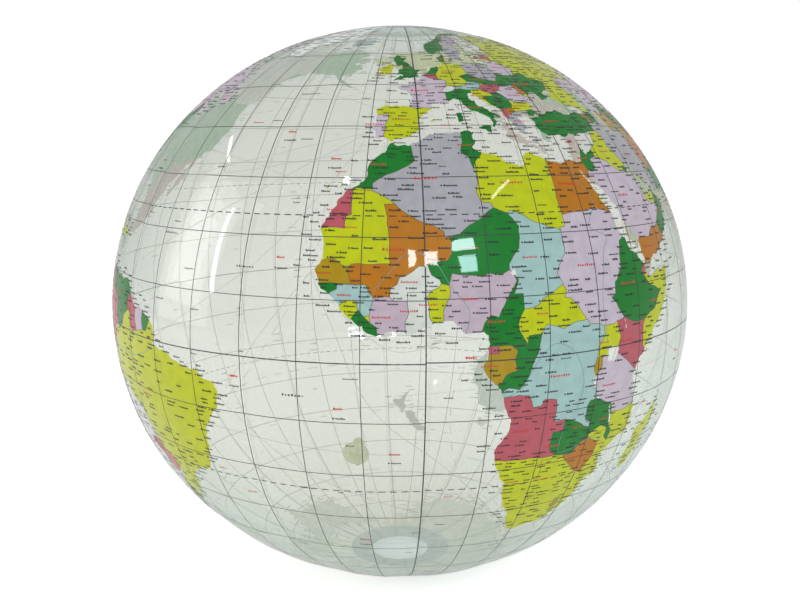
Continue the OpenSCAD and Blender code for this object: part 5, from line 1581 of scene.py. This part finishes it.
def make_strap():
    """Tether from the neck's rim, looped back to the stopper's head."""
    z_low, z_high, bend = 0.5, 1.7, 10
    path = [(-5.0, z_low), (-6.2, z_low), (-7.6, z_low), (-9, z_low)]
    path += [(-x, z) for x, z in arc(bend, (z_low + z_high) / 2, (z_high - z_low) / 2, -90, 90, 24)]
    path += [(-9, z_high), (-7.8, z_high), (-6.15, z_high)]
    half, thick = 1.5, 0.3
    turns = [math.radians(22.5 + 45 * k) for k in range(8)]
    section = [(1.3 * thick * math.cos(t), 1.12 * half * math.sin(t)) for t in turns]
    section = [(max(-thick, min(thick, a)), max(-half, min(half, b))) for a, b in section]
    points, faces = [], []
    for i, (x, z) in enumerate(path):
        before, after = path[max(i - 1, 0)], path[min(i + 1, len(path) - 1)]
        run = Vector((after[0] - before[0], after[1] - before[1])).normalized()
        for a, b in section:
            points.append(in_valve(x - run.y * a, b, z + run.x * a))
    n = len(section)
    for i in range(len(path) - 1):
        for k in range(n):
            a, b = i * n + k, i * n + (k + 1) % n
            faces.append((a, a + n, b + n, b))
    faces += [tuple(range(n)), tuple(reversed(range(len(points) - n, len(points))))]
    piece = add_mesh("valve_strap_tether", points, faces, [VINYL], None)
    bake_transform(piece)
    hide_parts("valve_strap")
    return piece


def make_plug():
    """Stopper: a ribbed stem in the air way, a domed head, and a tab with grip ridges."""
    stem = [(0, -5.4), (STEM_R - 0.5, -5.4), (STEM_R, -5.0), (STEM_R, -4.2)]
    stem += [(STEM_R + 0.13, -3.8), (STEM_R + 0.13, -3.4), (STEM_R, -3.0), (STEM_R, 1.3)]
    head = [(HEAD_R - 0.4, 1.17), (HEAD_R - 0.05, 1.4)] + arc(HEAD_R - 0.4, 2.06, 0.4, -20, 90, 5)
    head += [(4.2, 2.52), (3.9, 2.36), (0, 2.36)]
    half, root, tip = 2.5, 5.0, 8.5
    tab = [(root, -half), (tip, -half)] + arc(tip, 0, half, -80, 80, 10) + [(tip, half), (root, half)]
    shells = [lathe(stem + head), slab(tab, 1.2, 2.42)]
    for x in (7.4, 8.4, 9.4):
        ridge = [(x - 0.2, -1.5), (x + 0.2, -1.5), (x + 0.2, 1.5), (x - 0.2, 1.5)]
        shells.append(slab(ridge, 2.2, 2.66))
    return make_valve_part("valve_plug_stopper", "valve_plug", "plug", shells)


def make_flap():
    """Check flap under the neck's inner end, with a stiffening boss."""
    top = NECK_END - 0.07
    rim = [(FLAP_R - 0.15, top), (FLAP_R, top - 0.15), (FLAP_R, top - 0.35), (FLAP_R - 0.15, top - 0.5)]
    boss = [(1.8, top - 0.52), (1.5, top - 0.95), (0, top - 1.0)]
    profile = [(0, top)] + rim + boss
    return make_valve_part("valve_flap_disc", "valve_flap", "flap", [lathe(profile[::-1])])


# ---------------------------------------------------------------- floor and light

# Brightness of the backdrop that the camera sees, and of the room that lights the ball.
BACKDROP = 1.03
ROOM = 0.64
FLOOR_REACH = 6.0


def make_floor():
    """Plain pale floor."""
    mesh = bpy.data.meshes.new("floor")
    corners = [(x * FLOOR_REACH, y * FLOOR_REACH, 0) for x, y in ((-1, -1), (1, -1), (1, 1), (-1, 1))]
    mesh.from_pydata(corners, [], [(0, 1, 2, 3)])
    floor = bpy.data.objects.new("floor", mesh)
    bpy.context.scene.collection.objects.link(floor)
    n = Nodes("floor_paper")
    matte = n.add("ShaderNodeBsdfDiffuse", Color=n.ramp(n.noise(3), [(0, grey(0.90)), (1, grey(0.92))]))
    seen = n.add("ShaderNodeLightPath").outputs["Is Camera Ray"]
    strength = n.ramp(seen, [(0, grey(0.2)), (1, grey(0.5))])
    glow = n.add("ShaderNodeEmission", Color=grey(1), Strength=strength)
    both = n.add("ShaderNodeAddShader")
    n.tree.links.new(matte.outputs[0], both.inputs[0])
    n.tree.links.new(glow.outputs[0], both.inputs[1])
    mesh.materials.append(n.finish(both.outputs[0]))


def make_world():
    """White backdrop in a dimmer room, which is what the film and inks reflect and are lit by."""
    world = bpy.data.worlds.new("studio")
    world.use_nodes = True
    tree = world.node_tree
    backdrop = tree.nodes["Background"]
    backdrop.inputs["Strength"].default_value = BACKDROP
    room = tree.nodes.new("ShaderNodeBackground")
    for node in (backdrop, room):
        node.inputs["Color"].default_value = grey(1)
    room.inputs["Strength"].default_value = ROOM
    mix = tree.nodes.new("ShaderNodeMixShader")
    tree.links.new(tree.nodes.new("ShaderNodeLightPath").outputs["Is Camera Ray"], mix.inputs[0])
    tree.links.new(room.outputs[0], mix.inputs[1])
    tree.links.new(backdrop.outputs[0], mix.inputs[2])
    tree.links.new(mix.outputs[0], tree.nodes["World Output"].inputs["Surface"])
    bpy.context.scene.world = world


def mirror_light(name, lon, lat, distance, width, height, radiance, roll=0, tint=(1, 1, 1)):
    """A soft lamp whose reflection is seen on the ball at that longitude and latitude."""
    spot = on_ball(lon, lat, 0)
    u, v = math.radians(lon), math.radians(lat)
    flat, rise = math.cos(v), math.sin(v) * BALL_R / POLE_R
    normal = Vector((flat * math.sin(u), -flat * math.cos(u), rise)).normalized()
    to_eye = (camera.location - spot).normalized()
    way = (2 * normal.dot(to_eye) * normal - to_eye).normalized()
    data = bpy.data.lights.new(name, "AREA")
    data.shape = "RECTANGLE"
    data.size, data.size_y = width, height
    data.color = tint
    data.energy = radiance * math.pi * width * height
    lamp = bpy.data.objects.new(name, data)
    bpy.context.scene.collection.objects.link(lamp)
    turn = (-way).to_track_quat("-Z", "Y") @ Matrix.Rotation(math.radians(roll), 3, "Z").to_quaternion()
    lamp.matrix_world = Matrix.Translation(spot + way * distance) @ turn.to_matrix().to_4x4()
    return lamp


def make_lights():
    """Soft window light from the left, with lamps where the ball shows their reflections."""
    for i, grow in enumerate((1.0, 0.72, 0.46)):
        mirror_light(f"softbox_{i}", -41, 17, 1.7 - 0.02 * i, 0.95 * grow, 1.45 * grow, 1.0)
    mirror_light("strip", -35, 17, 1.5, 0.05, 0.8, 7.0, roll=10)
    mirror_light("strip_high", -40, 35, 1.5, 0.32, 0.03, 9.0, roll=-8)
    mirror_light("window_a", -0.6, 16.6, 1.8, 0.13, 0.26, 40.0)
    mirror_light("window_b", 5.6, 18.6, 1.8, 0.26, 0.13, 42.0, tint=(0.72, 0.94, 1))
    mirror_light("window_c", 6.3, 15.9, 1.8, 0.19, 0.17, 36.0, tint=(0.62, 0.92, 1))
    mirror_light("slit", 13.9, 28.0, 1.8, 0.03, 0.34, 22.0, roll=-76)
    mirror_light("spark", -13, 29.5, 1.8, 0.09, 0.09, 20.0)


# ---------------------------------------------------------------- the whole scene

make_world()
make_floor()
make_lights()
land_borders, land_spots = make_lands()
make_graticule()
make_fine_lines(land_borders)
make_lettering(land_spots)
for i in range(1, GORES + 1):
    make_gore(i)
make_cap("north_cap", 1)
make_cap("south_cap", -1)
make_flange()
make_skirt()
make_neck()
make_strap()
make_plug()
make_flap()

scene = bpy.context.scene
scene.view_settings.view_transform = "Standard"
scene.cycles.transparent_max_bounces = 32
